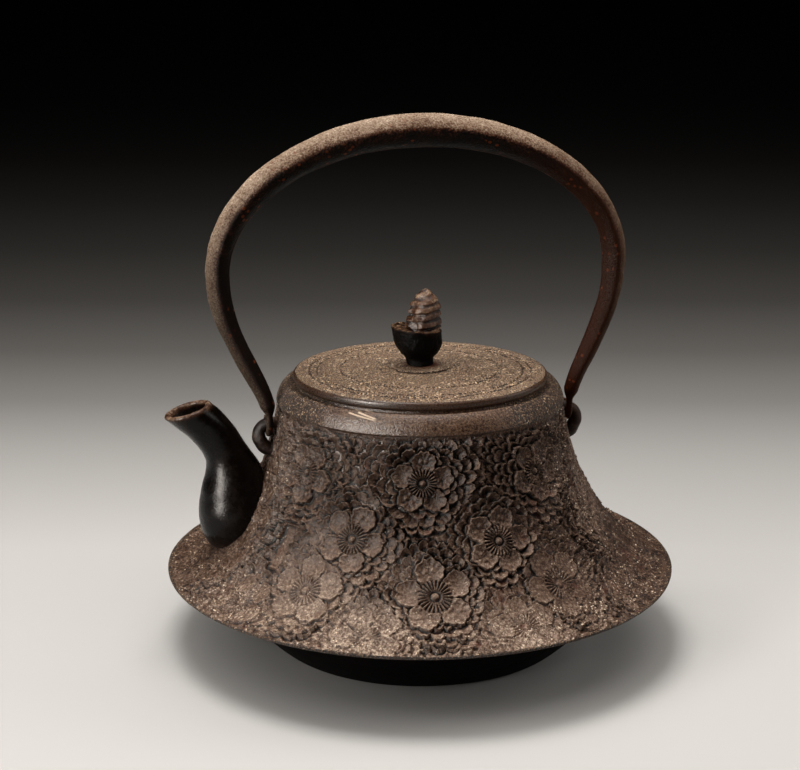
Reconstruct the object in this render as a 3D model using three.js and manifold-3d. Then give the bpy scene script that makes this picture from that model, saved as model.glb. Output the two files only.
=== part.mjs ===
// A cast-iron water kettle: a flared body with a skirt, a bottom set inside the skirt, an S-shaped spout,
// a hollow forged bail hooked into two ears, and a loose lid whose knob is a cone standing in a cup.
// Millimetres, +Z up, the ground at Z 0, the bail in the XZ plane, the spout towards -X.
import * as THREE from "three";
import { mergeVertices } from "three/addons/utils/BufferGeometryUtils.js";
import Module from "manifold-3d";

const wasm = await Module();
wasm.setup();

// Fits and facets
const SEAT_GAP = 0.3; // between faces that rest on each other
const ROUND = 52; // facets round the body, the bottom and the lid
const SMALL_ROUND = 22; // facets round the knob's pieces
const OVERCUT = 2; // how far a cutter, or a foot that is trimmed later, runs past the face
const LINE_STEPS = 60; // points on a curve that sizes are read from

// Body
const SKIRT_R = 100; // radius of the skirt's rim
const SKIRT_Z = 30.3; // height of the rim's upper edge
const SKIRT_SLOPE = 19; // degrees, the skirt's slope at its rim
const SKIRT_REACH = 29.6; // how far that slope reaches in
const COLLAR_R = 55.6; // the wall's radius under the collar
const COLLAR_Z = 96.4; // height of the collar's lower edge
const COLLAR_STEP = 0.5; // how far the collar stands proud of the wall
const WALL_LEAN = 9.5; // degrees, the wall's lean under the collar
const WALL_REACH = 26.8; // how far that lean reaches down
const WALL_T = 3;
const RIM_T = 1.5; // the skirt's thickness at its rim
const RIM_TAPER = 0.72; // share of the wall's line where it starts to thin towards the rim
const SHOULDER_R = 50.2; // where the collar turns over to the lid's seat
const COLLAR_BULGE = 4.3; // how far the collar bellies out past the shoulder
const BODY_TOP = 104;
const MOUTH_R = 44;
const SPIGOT_T = 2; // ring under the body that centres the bottom
const SPIGOT_Z = 30.5; // height of the spigot's lower edge

// Bottom
const BASE_R = 58; // flat face that the kettle stands on
const BOWL_R = 83.6; // outer radius where the bottom meets the skirt
const BOWL_T = 3;
const BOWL_FOOT = 38; // degrees, the bottom's rise from the flat face
const BOWL_FOOT_REACH = 14;
const BOWL_SIDE_REACH = 9; // upright stretch under the skirt

// Spout: sections from the toe up to the mouth. Each spans from its low edge to its high edge, both given as
// [out from the wall at that height, up from the belly], with half its breadth across.
const SPOUT_Z = 55.5; // height of the belly's widest section
const SPOUT_T = 2.4;
const SPOUT_SECTIONS = [
  { low: [-5.6, -16.3], high: [-11.4, -16.2], half: 3 }, // toe
  { low: [2.6, -13.6], high: [-13.5, -13.7], half: 8 },
  { low: [11.3, -7.5], high: [-14.1, -8], half: 12.2 },
  { low: [18, 0.5], high: [-9.7, -0.5], half: 13.5 }, // belly
  { low: [21, 8.5], high: [-5.2, 7.5], half: 12.4 },
  { low: [22, 15.2], high: [1.5, 17.2], half: 10.4 },
  { low: [23.9, 20.8], high: [9.2, 25], half: 8.7 }, // waist
  { low: [30.9, 28.5], high: [16.1, 33.5], half: 8.1 },
  { low: [37.5, 33.6], high: [22.3, 39.6], half: 8.5 },
  { low: [43.3, 37.7], high: [25.9, 42.7], half: 9.1 }, // mouth
];
const SPOUT_RINGS = 18;
const SPOUT_SOLID_RINGS = 3; // rings of the toe that the bore leaves solid
const SPOUT_SIDES = 18;

// Ears
const EAR_Z = 84.6; // height of the eye's middle
const EAR_RISE = 4.6; // from there to the middle of the top bar
const EAR_FALL = 5.8; // and to the middle of the bottom bar
const EAR_OUT = 5.7; // from the wall to the middle of the outer bar
const EAR_HALF_T = 2.2; // half the bar's thickness, seen from the front
const EAR_HALF_D = 2.6; // half its depth, front to back
const EAR_ROOT = 1.6; // how deep the feet are let into the wall
const EAR_RINGS = 16;
const EAR_SIDES = 10;

// Bail
const HOOK_R = 1.25; // radius of the hook's rod
const HOOK_PLAY = 0.5; // between the rod and the bar that it hangs on
const HOOK_TIP = 2.4; // how far the tip stands up behind the bar
const SHANK_UP = 3.4; // where the rod starts to swell, over the bar's middle
const SHANK_NECK = 0.88; // share of the leg's line where it starts to narrow to the rod
const BAIL_HALF = 77.9; // half width between the middles of the legs at their widest
const BAIL_WIDEST_Z = 148;
const BAIL_TOP_Z = 200.3; // middle of the bail's section at its crown
const BAIL_CROWN_T = 12.5;
const BAIL_SIDE_T = 9.4;
const BAIL_SHANK_T = 5.8; // just over the hook
const BAIL_DEPTH = 1.08; // depth front to back over thickness
const BAIL_SHEET = 1.5; // the rolled sheet's thickness
const BAIL_SEAM = 0.9; // open seam along the inner side
const BAIL_SIDES = 10;
const BAIL_BORE_SIDES = 6;
const BORE_END = 0.3; // the bore stops where the shank is this much wider than at the hook
const LEG_UPPER_REACH = 26;
const LEG_LOWER_REACH = 13.4;

// Lid and knob
const LID_R = 49.4;
const LID_T = 2.9;
const LID_CROWN = 1.4; // how far the lid's middle stands over its rim
const LID_GROOVES = [43, 40, 31]; // radii of the turned rings
const GROOVE_W = 0.9;
const GROOVE_DEPTH = 0.4;
const FLANGE_PLAY = 0.6; // between the lid's flange and the mouth
const FLANGE_T = 2.5;
const FLANGE_DEPTH = 6;
const STEM_R = 1.2;
const STEM_PLAY = 0.3;
const KNOB_SEAT_R = 12;
const KNOB_SEAT_T = 1;
const CUP_FOOT_R = 5.2;
const CUP_R = 9.9;
const CUP_H = 14;
const CUP_LEAN = -1.6; // how far the rim's middle lies towards the spout
const CUP_TILT = 5; // degrees, the rim's rise towards the spout
const WASHER_R = 7;
const WASHER_T = 1.2;
const RIVET_R = 4.4;
const RIVET_T = 1.6;
const CONE_R = 6.6;
const CONE_H = 15;
const CONE_OFF = 1.5; // from the stem to the cone's middle, away from the spout
const CONE_LEAN = 3; // degrees
const CONE_TURNS = 5; // of the ridges that wind up it
const CONE_STARTS = 2; // ridges side by side
const CONE_GROOVE = 0.14; // share of the radius lost between the ridges
const CONE_RINGS = 24;
const CONE_FULLNESS = 2.6; // the higher, the longer the cone stays wide
const CONE_BLUNTNESS = 0.7; // the lower, the blunter its tip
const CONE_PIN_R = 1.9;
const CONE_PIN_H = 4;

const iron = (color, roughness) => new THREE.MeshStandardMaterial({ color, roughness, metalness: 0.6 });
const BODY_IRON = iron(0x4a4038, 0.8);
const BLACK_IRON = iron(0x191613, 0.5);
const LID_IRON = iron(0x66574a, 0.75);
const BAIL_IRON = iron(0x5a4a40, 0.65);
const RUST_IRON = iron(0x4e3222, 0.8);

const v2 = (x, y) => new THREE.Vector2(x, y);
const v3 = (x, y, z) => new THREE.Vector3(x, y, z);
const { lerp, smoothstep, degToRad } = THREE.MathUtils;
const sin = (degrees) => Math.sin(degToRad(degrees));
const cos = (degrees) => Math.cos(degToRad(degrees));

// Solids

function solidOf(geometry) {
  const flat = geometry.index ? geometry.toNonIndexed() : geometry;
  const bare = new THREE.BufferGeometry().setAttribute("position", flat.getAttribute("position"));
  const merged = mergeVertices(bare, 1e-4);
  const corners = merged.index.array;
  const kept = [];
  for (let i = 0; i < corners.length; i += 3) {
    const [a, b, c] = corners.subarray(i, i + 3);
    if (a !== b && b !== c && c !== a) kept.push(a, b, c);
  }
  const vertProperties = merged.attributes.position.array;
  return new wasm.Manifold(new wasm.Mesh({ numProp: 3, vertProperties, triVerts: new Uint32Array(kept) }));
}

function geometryOf(solid) {
  const mesh = solid.getMesh();
  const made = new THREE.BufferGeometry();
  made.setAttribute("position", new THREE.BufferAttribute(mesh.vertProperties, 3));
  made.setIndex(new THREE.BufferAttribute(mesh.triVerts, 1));
  made.computeVertexNormals();
  return made;
}

// A profile of [radius, height] points turned about the Z axis; it runs up the outside and down the inside.
function revolve(profile, facets = ROUND) {
  return new THREE.LatheGeometry(profile, facets).rotateX(Math.PI / 2);
}

function revolveRing(profile, facets = ROUND) {
  return revolve([...profile, profile[0]], facets);
}

// One ellipse of a loft: across and along are unit vectors whose cross product points forward.
function ring(centre, across, along, halfAcross, halfAlong, sides) {
  return Array.from({ length: sides }, (_, k) => {
    const angle = (2 * Math.PI * k) / sides;
    return centre
      .clone()
      .addScaledVector(across, halfAcross * Math.cos(angle))
      .addScaledVector(along, halfAlong * Math.sin(angle));
  });
}

// A closed skin over a row of rings with equal counts, with a flat fan on each end.
function loft(rings) {
  const sides = rings[0].length;
  const position = [];
  const triangle = (a, b, c) => position.push(...a.toArray(), ...b.toArray(), ...c.toArray());
  const middle = (points) => points.reduce((sum, p) => sum.add(p), v3(0, 0, 0)).divideScalar(sides);
  const first = middle(rings[0]);
  const last = middle(rings.at(-1));
  for (let k = 0; k < sides; k++) {
    const next = (k + 1) % sides;
    triangle(first, rings[0][next], rings[0][k]);
    triangle(last, rings.at(-1)[k], rings.at(-1)[next]);
    for (let i = 1; i < rings.length; i++) {
      const [below, above] = [rings[i - 1], rings[i]];
      triangle(below[k], below[next], above[k]);
      triangle(below[next], above[next], above[k]);
    }
  }
  return new THREE.BufferGeometry().setAttribute("position", new THREE.Float32BufferAttribute(position, 3));
}

const root = new THREE.Group();

function piece(name, geometry, material, parent = root) {
  const mesh = new THREE.Mesh(geometry, material);
  mesh.name = name;
  parent.add(mesh);
  return mesh;
}

// Body: the wall's outline from the collar down to the rim, and the surface one wall thickness inside it

const wallCurve = new THREE.CubicBezierCurve(
  v2(COLLAR_R, COLLAR_Z),
  v2(COLLAR_R + WALL_REACH * sin(WALL_LEAN), COLLAR_Z - WALL_REACH * cos(WALL_LEAN)),
  v2(SKIRT_R - SKIRT_REACH * cos(SKIRT_SLOPE), SKIRT_Z + SKIRT_REACH * sin(SKIRT_SLOPE)),
  v2(SKIRT_R, SKIRT_Z),
);
const collarCurve = new THREE.QuadraticBezierCurve(
  v2(COLLAR_R + COLLAR_STEP, COLLAR_Z + COLLAR_STEP),
  v2(SHOULDER_R + COLLAR_BULGE, BODY_TOP - COLLAR_STEP),
  v2(SHOULDER_R, BODY_TOP),
);

// Points of a curve moved sideways: to the left of its direction where distance(t) is positive.
function beside(curve, count, distance) {
  return Array.from({ length: count + 1 }, (_, i) => {
    const t = i / count;
    const tangent = curve.getTangent(t);
    return curve.getPoint(t).add(v2(-tangent.y, tangent.x).multiplyScalar(distance(t)));
  });
}

const wallThickness = (t) => lerp(WALL_T, RIM_T, smoothstep(t, RIM_TAPER, 1));

// The value at x on a line of points, read along either axis; the line's end pieces run on past it.
function readAt(points, x, from, to) {
  const sorted = [...points].sort((a, b) => a[from] - b[from]);
  const above = Math.max(1, sorted.findIndex((p) => p[from] >= x || p === sorted.at(-1)));
  const [p, q] = [sorted[above - 1], sorted[above]];
  return THREE.MathUtils.mapLinear(x, p[from], q[from], p[to], q[to]);
}

const wallLine = wallCurve.getPoints(LINE_STEPS);
const underLine = beside(wallCurve, LINE_STEPS, (t) => -wallThickness(t));
const wallRadius = (height) => readAt(wallLine, height, "y", "x");
const underHeight = (radius) => readAt(underLine, radius, "x", "y");

const bowlRimZ = underHeight(BOWL_R) - SEAT_GAP;
const bowlCurve = new THREE.CubicBezierCurve(
  v2(BASE_R, 0),
  v2(BASE_R + BOWL_FOOT_REACH * cos(BOWL_FOOT), BOWL_FOOT_REACH * sin(BOWL_FOOT)),
  v2(BOWL_R, bowlRimZ - BOWL_SIDE_REACH),
  v2(BOWL_R, bowlRimZ),
);
const bowlInnerR = readAt(beside(bowlCurve, LINE_STEPS, () => BOWL_T), SPIGOT_Z, "y", "x");
const spigotR = bowlInnerR - SEAT_GAP;
const spigotInnerR = spigotR - SPIGOT_T;

function bodyProfile() {
  const outside = wallCurve.getPoints(11).reverse();
  const inside = beside(wallCurve, 9, (t) => -wallThickness(t));
  const rimEdge = outside[0].clone().lerp(inside.at(-1), 0.5).add(v2(RIM_T * 0.1, 0));
  return [
    v2(spigotR, underHeight(spigotR)),
    v2(BOWL_R, underHeight(BOWL_R)),
    ...inside.filter((p) => p.x > BOWL_R + 1),
    rimEdge,
    ...outside,
    ...collarCurve.getPoints(3),
    v2(MOUTH_R, BODY_TOP),
    v2(MOUTH_R, BODY_TOP - WALL_T),
    ...beside(collarCurve, 2, () => WALL_T).reverse().slice(1),
    ...inside.slice(1).filter((p) => p.x < spigotInnerR - 1),
    v2(spigotInnerR, underHeight(spigotInnerR)),
    v2(spigotInnerR, SPIGOT_Z),
    v2(spigotR, SPIGOT_Z),
  ];
}

// The space inside the body, up to a distance short of the wall's outer face, as a solid for cutting
function bodyCore(depth) {
  const line = beside(wallCurve, 24, () => -depth).reverse();
  return solidOf(revolve([v2(0, line[0].y), ...line, v2(line.at(-1).x, BODY_TOP), v2(0, BODY_TOP)]));
}

// Bottom: a shallow bowl whose rim is mitred to the skirt's underside

function bottomProfile() {
  const steps = 6;
  const rimInnerR = BOWL_R - BOWL_T;
  return [
    v2(0, 0),
    ...bowlCurve.getPoints(steps),
    v2(rimInnerR, underHeight(rimInnerR) - SEAT_GAP),
    ...beside(bowlCurve, steps, () => BOWL_T).reverse().slice(1, -1),
    v2(BASE_R - BOWL_T * Math.tan(degToRad(BOWL_FOOT / 2)), BOWL_T),
    v2(0, BOWL_T),
  ];
}

// Spout: lofted through its sections, hollow, and let through the wall flush with its inner face

const spoutPoint = ([out, up]) => v3(-wallRadius(SPOUT_Z + up) - out, 0, SPOUT_Z + up);
const spoutLow = new THREE.CatmullRomCurve3(SPOUT_SECTIONS.map((s) => spoutPoint(s.low)));
const spoutHigh = new THREE.CatmullRomCurve3(SPOUT_SECTIONS.map((s) => spoutPoint(s.high)));
const spoutHalf = new THREE.SplineCurve(SPOUT_SECTIONS.map((s, i) => v2(i, s.half)));

// The section at t from toe to mouth, its edges drawn in by inset and the whole moved forward by shift.
function spoutRing(t, inset, shift = 0) {
  const low = spoutLow.getPoint(t);
  const high = spoutHigh.getPoint(t);
  const across = high.clone().sub(low).normalize();
  const along = v3(0, 1, 0);
  const forward = across.clone().cross(along);
  const centre = low.clone().add(high).multiplyScalar(0.5).addScaledVector(forward, shift);
  const half = low.distanceTo(high) / 2;
  return ring(centre, across, along, half - inset, spoutHalf.getPoint(t).y - inset, SPOUT_SIDES);
}

function spoutRings(inset) {
  return Array.from({ length: SPOUT_RINGS + 1 }, (_, i) => spoutRing(i / SPOUT_RINGS, inset));
}

function spoutSolid() {
  const outer = solidOf(loft(spoutRings(0)));
  const bore = spoutRings(SPOUT_T).slice(SPOUT_SOLID_RINGS);
  bore.push(spoutRing(1, SPOUT_T, OVERCUT));
  return outer.subtract(solidOf(loft(bore))).subtract(bodyCore(WALL_T));
}

// Ears: a bar bent into an eye, its two feet let into the wall

const earWallR = wallRadius(EAR_Z);
const earX = earWallR + EAR_OUT; // middle of the outer bar
const axisZ = EAR_Z + EAR_RISE; // middle of the top bar, on which the bail swings
const hookX = (earWallR + earX - EAR_HALF_T) / 2; // middle of the eye
const hookTurnR = EAR_HALF_T + HOOK_PLAY + HOOK_R;

// The eye on one side, with all its faces moved out by grow
function earSolid(side, grow) {
  const footR = (height) => wallRadius(height) - EAR_ROOT - OVERCUT;
  const bottomZ = EAR_Z - EAR_FALL;
  const path = new THREE.CatmullRomCurve3([
    v3(footR(axisZ), 0, axisZ),
    v3(hookX, 0, axisZ),
    v3(earX - EAR_OUT * 0.17, 0, lerp(EAR_Z, axisZ, 0.65)),
    v3(earX, 0, EAR_Z),
    v3(earX - EAR_OUT * 0.24, 0, lerp(EAR_Z, bottomZ, 0.62)),
    v3(hookX, 0, bottomZ),
    v3(footR(bottomZ), 0, bottomZ),
  ]);
  const rings = Array.from({ length: EAR_RINGS + 1 }, (_, i) => {
    const t = i / EAR_RINGS;
    const forward = path.getTangent(t);
    const along = v3(0, -1, 0);
    const across = along.clone().cross(forward);
    return ring(path.getPoint(t), across, along, EAR_HALF_T + grow, EAR_HALF_D + grow, EAR_SIDES);
  });
  const right = solidOf(loft(rings)).subtract(bodyCore(EAR_ROOT + grow));
  return side > 0 ? right : right.mirror([1, 0, 0]);
}

// Bail: half of its middle line from the crown to the hook's tip, and the section's size along it

const leg = new THREE.CubicBezierCurve3(
  v3(BAIL_HALF, 0, BAIL_WIDEST_Z),
  v3(BAIL_HALF, 0, BAIL_WIDEST_Z - LEG_UPPER_REACH),
  v3(hookX, -hookTurnR, axisZ + SHANK_UP + LEG_LOWER_REACH),
  v3(hookX, -hookTurnR, axisZ + SHANK_UP),
);

function bailStations() {
  const arch = (count) =>
    Array.from({ length: count }, (_, i) => {
      const angle = (90 * i) / count;
      const rise = BAIL_TOP_Z - BAIL_WIDEST_Z;
      const thickness = lerp(BAIL_CROWN_T, BAIL_SIDE_T, smoothstep(i / count, 0, 1));
      return {
        at: v3(BAIL_HALF * sin(angle), 0, BAIL_WIDEST_Z + rise * cos(angle)),
        forward: v3(BAIL_HALF * cos(angle), 0, -rise * sin(angle)).normalize(),
        half: thickness / 2,
      };
    });
  const legs = (count) =>
    Array.from({ length: count + 1 }, (_, i) => {
      const t = i / count;
      const taper = lerp(BAIL_SIDE_T, BAIL_SHANK_T, Math.min(t / SHANK_NECK, 1)) / 2;
      return {
        at: leg.getPoint(t),
        forward: leg.getTangent(t),
        half: lerp(taper, HOOK_R, smoothstep(t, SHANK_NECK, 1)),
      };
    });
  const hook = (count) =>
    Array.from({ length: count + 1 }, (_, i) => {
      const angle = (180 * i) / count;
      return {
        at: v3(hookX, -hookTurnR * cos(angle), axisZ - hookTurnR * sin(angle)),
        forward: v3(0, sin(angle), -cos(angle)),
        half: HOOK_R,
      };
    });
  const tip = { at: v3(hookX, hookTurnR, axisZ + HOOK_TIP), forward: v3(0, 0, 1), half: HOOK_R * 0.7 };
  return [...arch(12), ...legs(16), ...hook(8), tip];
}

// Gives each station its across vector: radial at the crown, then carried along the line without twist.
function withFrames(stations) {
  let across = v3(0, 0, 1);
  return stations.map((s) => {
    across = across.clone().addScaledVector(s.forward, -across.dot(s.forward)).normalize();
    return { ...s, across, along: s.forward.clone().cross(across) };
  });
}

const mirrored = (v) => v3(-v.x, v.y, v.z);

// Rings over the whole bail, the left half mirrored from the right.
function bailRings(stations, shape) {
  const right = stations.map((s) => shape(s));
  const left = right.slice(1).reverse().map((points) => points.map(mirrored));
  return [...left, ...right];
}

function bailSolid() {
  const stations = withFrames(bailStations());
  const depth = (half) => half * (half > HOOK_R ? BAIL_DEPTH : 1);
  const outer = bailRings(stations, (s) =>
    ring(s.at, s.across, s.along, s.half, depth(s.half), BAIL_SIDES),
  );
  const hollowPart = stations.filter((s) => s.half > BAIL_SHANK_T / 2 + BORE_END);
  const hollow = bailRings(hollowPart, (s) =>
    ring(s.at, s.across, s.along, s.half - BAIL_SHEET, depth(s.half) - BAIL_SHEET, BAIL_BORE_SIDES),
  );
  const seam = bailRings(hollowPart, (s) => {
    const corner = (reach, side) =>
      s.at.clone().addScaledVector(s.across, reach).addScaledVector(s.along, (side * BAIL_SEAM) / 2);
    return [corner(0, -1), corner(0, 1), corner(-s.half - OVERCUT, 1), corner(-s.half - OVERCUT, -1)];
  });
  return solidOf(loft(outer)).subtract(solidOf(loft(hollow))).subtract(solidOf(loft(seam)));
}

// Lid: a plate with a low crown, and a flange that centres it in the mouth

const lidSeatZ = BODY_TOP + SEAT_GAP;
const lidRimZ = lidSeatZ + LID_T;
const crownZ = (radius) => lidRimZ + LID_CROWN * (1 - (radius / LID_R) ** 2);
const stemHoleR = STEM_R + STEM_PLAY;

function lidProfile() {
  const flangeR = MOUTH_R - FLANGE_PLAY;
  const flangeInnerR = flangeR - FLANGE_T;
  const underZ = (radius) => crownZ(radius) - LID_T;
  const groove = (radius) => [
    v2(radius + GROOVE_W / 2, crownZ(radius + GROOVE_W / 2)),
    v2(radius, crownZ(radius) - GROOVE_DEPTH),
    v2(radius - GROOVE_W / 2, crownZ(radius - GROOVE_W / 2)),
  ];
  return [
    v2(stemHoleR, underZ(stemHoleR)),
    v2(flangeInnerR / 2, underZ(flangeInnerR / 2)),
    v2(flangeInnerR, underZ(flangeInnerR)),
    v2(flangeInnerR, lidSeatZ - FLANGE_DEPTH),
    v2(flangeR, lidSeatZ - FLANGE_DEPTH),
    v2(flangeR, lidSeatZ),
    v2(LID_R - LID_T * 0.4, lidSeatZ),
    v2(LID_R - LID_T * 0.06, lidSeatZ + LID_T * 0.3),
    v2(LID_R, lidSeatZ + LID_T * 0.6),
    v2(LID_R - LID_T * 0.12, lidRimZ - LID_T * 0.12),
    ...LID_GROOVES.flatMap(groove),
    v2(stemHoleR, crownZ(stemHoleR)),
  ];
}

// Knob seat: a dished washer under the cup's foot

const knobSeatZ = crownZ(0) + SEAT_GAP;
const knobSeatTop = knobSeatZ + KNOB_SEAT_T * 0.7;

function knobSeatProfile() {
  return [
    v2(stemHoleR, knobSeatZ),
    v2(KNOB_SEAT_R - 0.5, knobSeatZ),
    v2(KNOB_SEAT_R, knobSeatZ + KNOB_SEAT_T / 2),
    v2(KNOB_SEAT_R - 0.5, knobSeatZ + KNOB_SEAT_T),
    v2((KNOB_SEAT_R + CUP_FOOT_R) / 2, knobSeatTop),
    v2(stemHoleR, knobSeatTop),
  ];
}

// Washer under the lid, held by the stem's riveted end

const washerTop = crownZ(0) - LID_T - SEAT_GAP;
const rivetTop = washerTop - WASHER_T - SEAT_GAP;

function washerProfile() {
  return [
    v2(stemHoleR, washerTop - WASHER_T),
    v2(WASHER_R - 0.3, washerTop - WASHER_T),
    v2(WASHER_R, washerTop - WASHER_T / 2),
    v2(WASHER_R - 0.3, washerTop),
    v2(stemHoleR, washerTop),
  ];
}

// Knob: a leaning cup on a foot, its stem through the lid, and a socket for the cone's pin

const footZ = knobSeatTop + SEAT_GAP;
const cupTopZ = footZ + CUP_H;
const cupTopAt = (x) => cupTopZ - (x - CUP_LEAN) * Math.tan(degToRad(CUP_TILT));

function knobCupSolid() {
  // Shares of the cup's height, with the half breadth there
  const stations = [
    { up: 0, half: CUP_FOOT_R },
    { up: 0.12, half: CUP_FOOT_R },
    { up: 0.35, half: CUP_R * 0.76 },
    { up: 0.62, half: CUP_R * 0.93 },
    { up: 1, half: CUP_R },
  ];
  const rings = stations.map(({ up, half }) => {
    const tilt = CUP_TILT * up * up;
    const centre = v3(CUP_LEAN * up, 0, footZ + CUP_H * up);
    return ring(centre, v3(cos(tilt), 0, -sin(tilt)), v3(0, 1, 0), half, half, SMALL_ROUND);
  });
  const stem = revolve(
    [
      v2(0, rivetTop - RIVET_T),
      v2(RIVET_R * 0.7, rivetTop - RIVET_T),
      v2(RIVET_R, rivetTop - RIVET_T * 0.4),
      v2(RIVET_R, rivetTop),
      v2(STEM_R, rivetTop),
      v2(STEM_R, footZ + OVERCUT),
      v2(0, footZ + OVERCUT),
    ],
    SMALL_ROUND,
  );
  const socketR = CONE_PIN_R + STEM_PLAY;
  const socketZ = cupTopAt(CONE_OFF) - CONE_PIN_H;
  const socket = new THREE.CylinderGeometry(socketR, socketR, CONE_PIN_H * 2, SMALL_ROUND)
    .rotateX(Math.PI / 2)
    .translate(CONE_OFF, 0, socketZ + CONE_PIN_H - SEAT_GAP);
  return solidOf(loft(rings)).add(solidOf(stem)).subtract(solidOf(socket));
}

// Cone: ridges that wind up to a blunt tip, on a pin that stands in the cup

function knobConeSolid() {
  const envelope = (up) => CONE_R * (1 - up ** CONE_FULLNESS) ** CONE_BLUNTNESS;
  const rings = Array.from({ length: CONE_RINGS }, (_, i) => {
    const up = i / CONE_RINGS;
    return Array.from({ length: SMALL_ROUND }, (__, k) => {
      const angle = (2 * Math.PI * k) / SMALL_ROUND;
      const ridge = Math.cos(2 * Math.PI * CONE_TURNS * up - CONE_STARTS * angle);
      const radius = envelope(up) * (1 - (CONE_GROOVE * (1 - ridge)) / 2);
      return v3(radius * Math.cos(angle), radius * Math.sin(angle), CONE_H * up);
    });
  });
  const tip = envelope((CONE_RINGS - 0.5) / CONE_RINGS) / 2;
  rings.push(ring(v3(0, 0, CONE_H), v3(1, 0, 0), v3(0, 1, 0), tip, tip, SMALL_ROUND));
  const pinH = CONE_PIN_H - SEAT_GAP;
  const pin = new THREE.CylinderGeometry(CONE_PIN_R, CONE_PIN_R, pinH + OVERCUT, SMALL_ROUND)
    .rotateX(Math.PI / 2)
    .translate(0, 0, (OVERCUT - pinH) / 2);
  return solidOf(loft(rings)).add(solidOf(pin));
}

piece("bottom_bowl", revolve(bottomProfile()), BLACK_IRON);

const spout = spoutSolid();
const spoutHole = solidOf(loft(spoutRings(-SEAT_GAP)));
let body = solidOf(revolveRing(bodyProfile())).subtract(spoutHole);
for (const side of [-1, 1]) body = body.subtract(earSolid(side, SEAT_GAP));
piece("body_shell", geometryOf(body), BODY_IRON);
piece("spout", geometryOf(spout), BLACK_IRON);
piece("ear_spout_side", geometryOf(earSolid(-1, 0)), BODY_IRON);
piece("ear_far_side", geometryOf(earSolid(1, 0)), BODY_IRON);
piece("bail_handle", geometryOf(bailSolid()), BAIL_IRON);

const lid = new THREE.Group();
root.add(lid);
piece("lid_plate", revolveRing(lidProfile()), LID_IRON, lid);
piece("knob_seat", revolveRing(knobSeatProfile(), SMALL_ROUND), RUST_IRON, lid);
piece("knob_cup", geometryOf(knobCupSolid()), BLACK_IRON, lid);
piece("knob_washer", revolveRing(washerProfile(), SMALL_ROUND), BLACK_IRON, lid);
const cone = piece("knob_cone", geometryOf(knobConeSolid()), RUST_IRON, lid);
cone.position.set(CONE_OFF, 0, cupTopAt(CONE_OFF - CONE_R) + SEAT_GAP);
cone.rotation.y = degToRad(CONE_LEAN);

export default root;
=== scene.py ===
# %% [markdown]
# # A cast-iron water kettle
# The kettle is a flared casting with blossoms in relief, a smooth black spout and bottom, a forged arch
# handle, and a loose lid with a small cone in a cup as its knob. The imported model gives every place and
# size. Each visible piece here is a fine surface over its solid, worked out with numpy in millimetres.

# %% Load the frame
import math

import bpy
import numpy as np
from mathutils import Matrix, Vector


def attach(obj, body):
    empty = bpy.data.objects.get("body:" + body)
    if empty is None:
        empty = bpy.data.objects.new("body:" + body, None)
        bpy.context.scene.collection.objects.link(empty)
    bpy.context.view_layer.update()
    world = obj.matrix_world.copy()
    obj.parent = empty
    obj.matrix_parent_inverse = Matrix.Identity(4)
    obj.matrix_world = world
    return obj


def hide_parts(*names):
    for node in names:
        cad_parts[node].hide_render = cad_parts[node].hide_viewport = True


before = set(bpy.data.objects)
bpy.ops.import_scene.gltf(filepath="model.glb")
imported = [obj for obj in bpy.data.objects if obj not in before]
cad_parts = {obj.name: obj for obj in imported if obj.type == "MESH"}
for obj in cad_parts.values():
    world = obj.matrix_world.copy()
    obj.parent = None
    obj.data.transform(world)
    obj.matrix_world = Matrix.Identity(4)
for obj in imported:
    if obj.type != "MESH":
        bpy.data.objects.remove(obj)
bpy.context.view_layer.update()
MM = 0.001

# %% [markdown]
# ## Surfaces on a grid
# A cast or turned piece is a sheet bent round: rows of points along its outline, columns round its axis.
# Working the whole sheet out as one array keeps thousands of points exact and quick, where modelling by
# hand would give a few. The sheet closes on itself in the columns, in the rows, or ends in flat caps.


# %% Grid and mesh helpers
def grid_quads(rows, columns, wrap_rows, wrap_columns):
    """Corner numbers of the quads between neighbouring rows and columns. A wrapped way joins its last line
    to its first."""
    r = np.arange(rows if wrap_rows else rows - 1)
    c = np.arange(columns if wrap_columns else columns - 1)
    r, c = np.meshgrid(r, c, indexing="ij")
    down, right = (r + 1) % rows, (c + 1) % columns
    corners = [r * columns + c, r * columns + right, down * columns + right, down * columns + c]
    return np.stack(corners, -1).reshape(-1, 4)


def sheet_mesh(name, points, wrap_rows=False, wrap_columns=True, caps="", flip=False, values=None):
    """A mesh object from points[row, column] in mm. caps: 'rows' closes the first and last row with a flat
    face each, 'columns' the first and last column. values maps an attribute's name to one number a point."""
    rows, columns = points.shape[:2]
    quads = grid_quads(rows, columns, wrap_rows, wrap_columns)
    number = np.arange(rows * columns).reshape(rows, columns)
    ends = []
    if caps == "rows":
        ends = [number[0][::-1], number[-1]]
    if caps == "columns":
        ends = [number[:, 0], number[:, -1][::-1]]
    if flip:
        quads = quads[:, ::-1]
        ends = [end[::-1] for end in ends]
    loops = np.concatenate([quads.ravel(), *ends]).astype(np.int32)
    starts = np.concatenate([[0], np.cumsum([4] * len(quads) + [len(end) for end in ends])[:-1]])
    mesh = bpy.data.meshes.new(name)
    mesh.vertices.add(rows * columns)
    mesh.vertices.foreach_set("co", (points * MM).astype(np.float32).ravel())
    mesh.loops.add(len(loops))
    mesh.loops.foreach_set("vertex_index", loops)
    mesh.polygons.add(len(starts))
    mesh.polygons.foreach_set("loop_start", starts.astype(np.int32))
    mesh.update(calc_edges=True)
    mesh.polygons.foreach_set("use_smooth", np.ones(len(starts), bool))
    for key, numbers in (values or {}).items():
        layer = mesh.attributes.new(key, "FLOAT", "POINT")
        layer.data.foreach_set("value", numbers.astype(np.float32).ravel())
    made = bpy.data.objects.new(name, mesh)
    bpy.context.scene.collection.objects.link(made)
    return made


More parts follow.
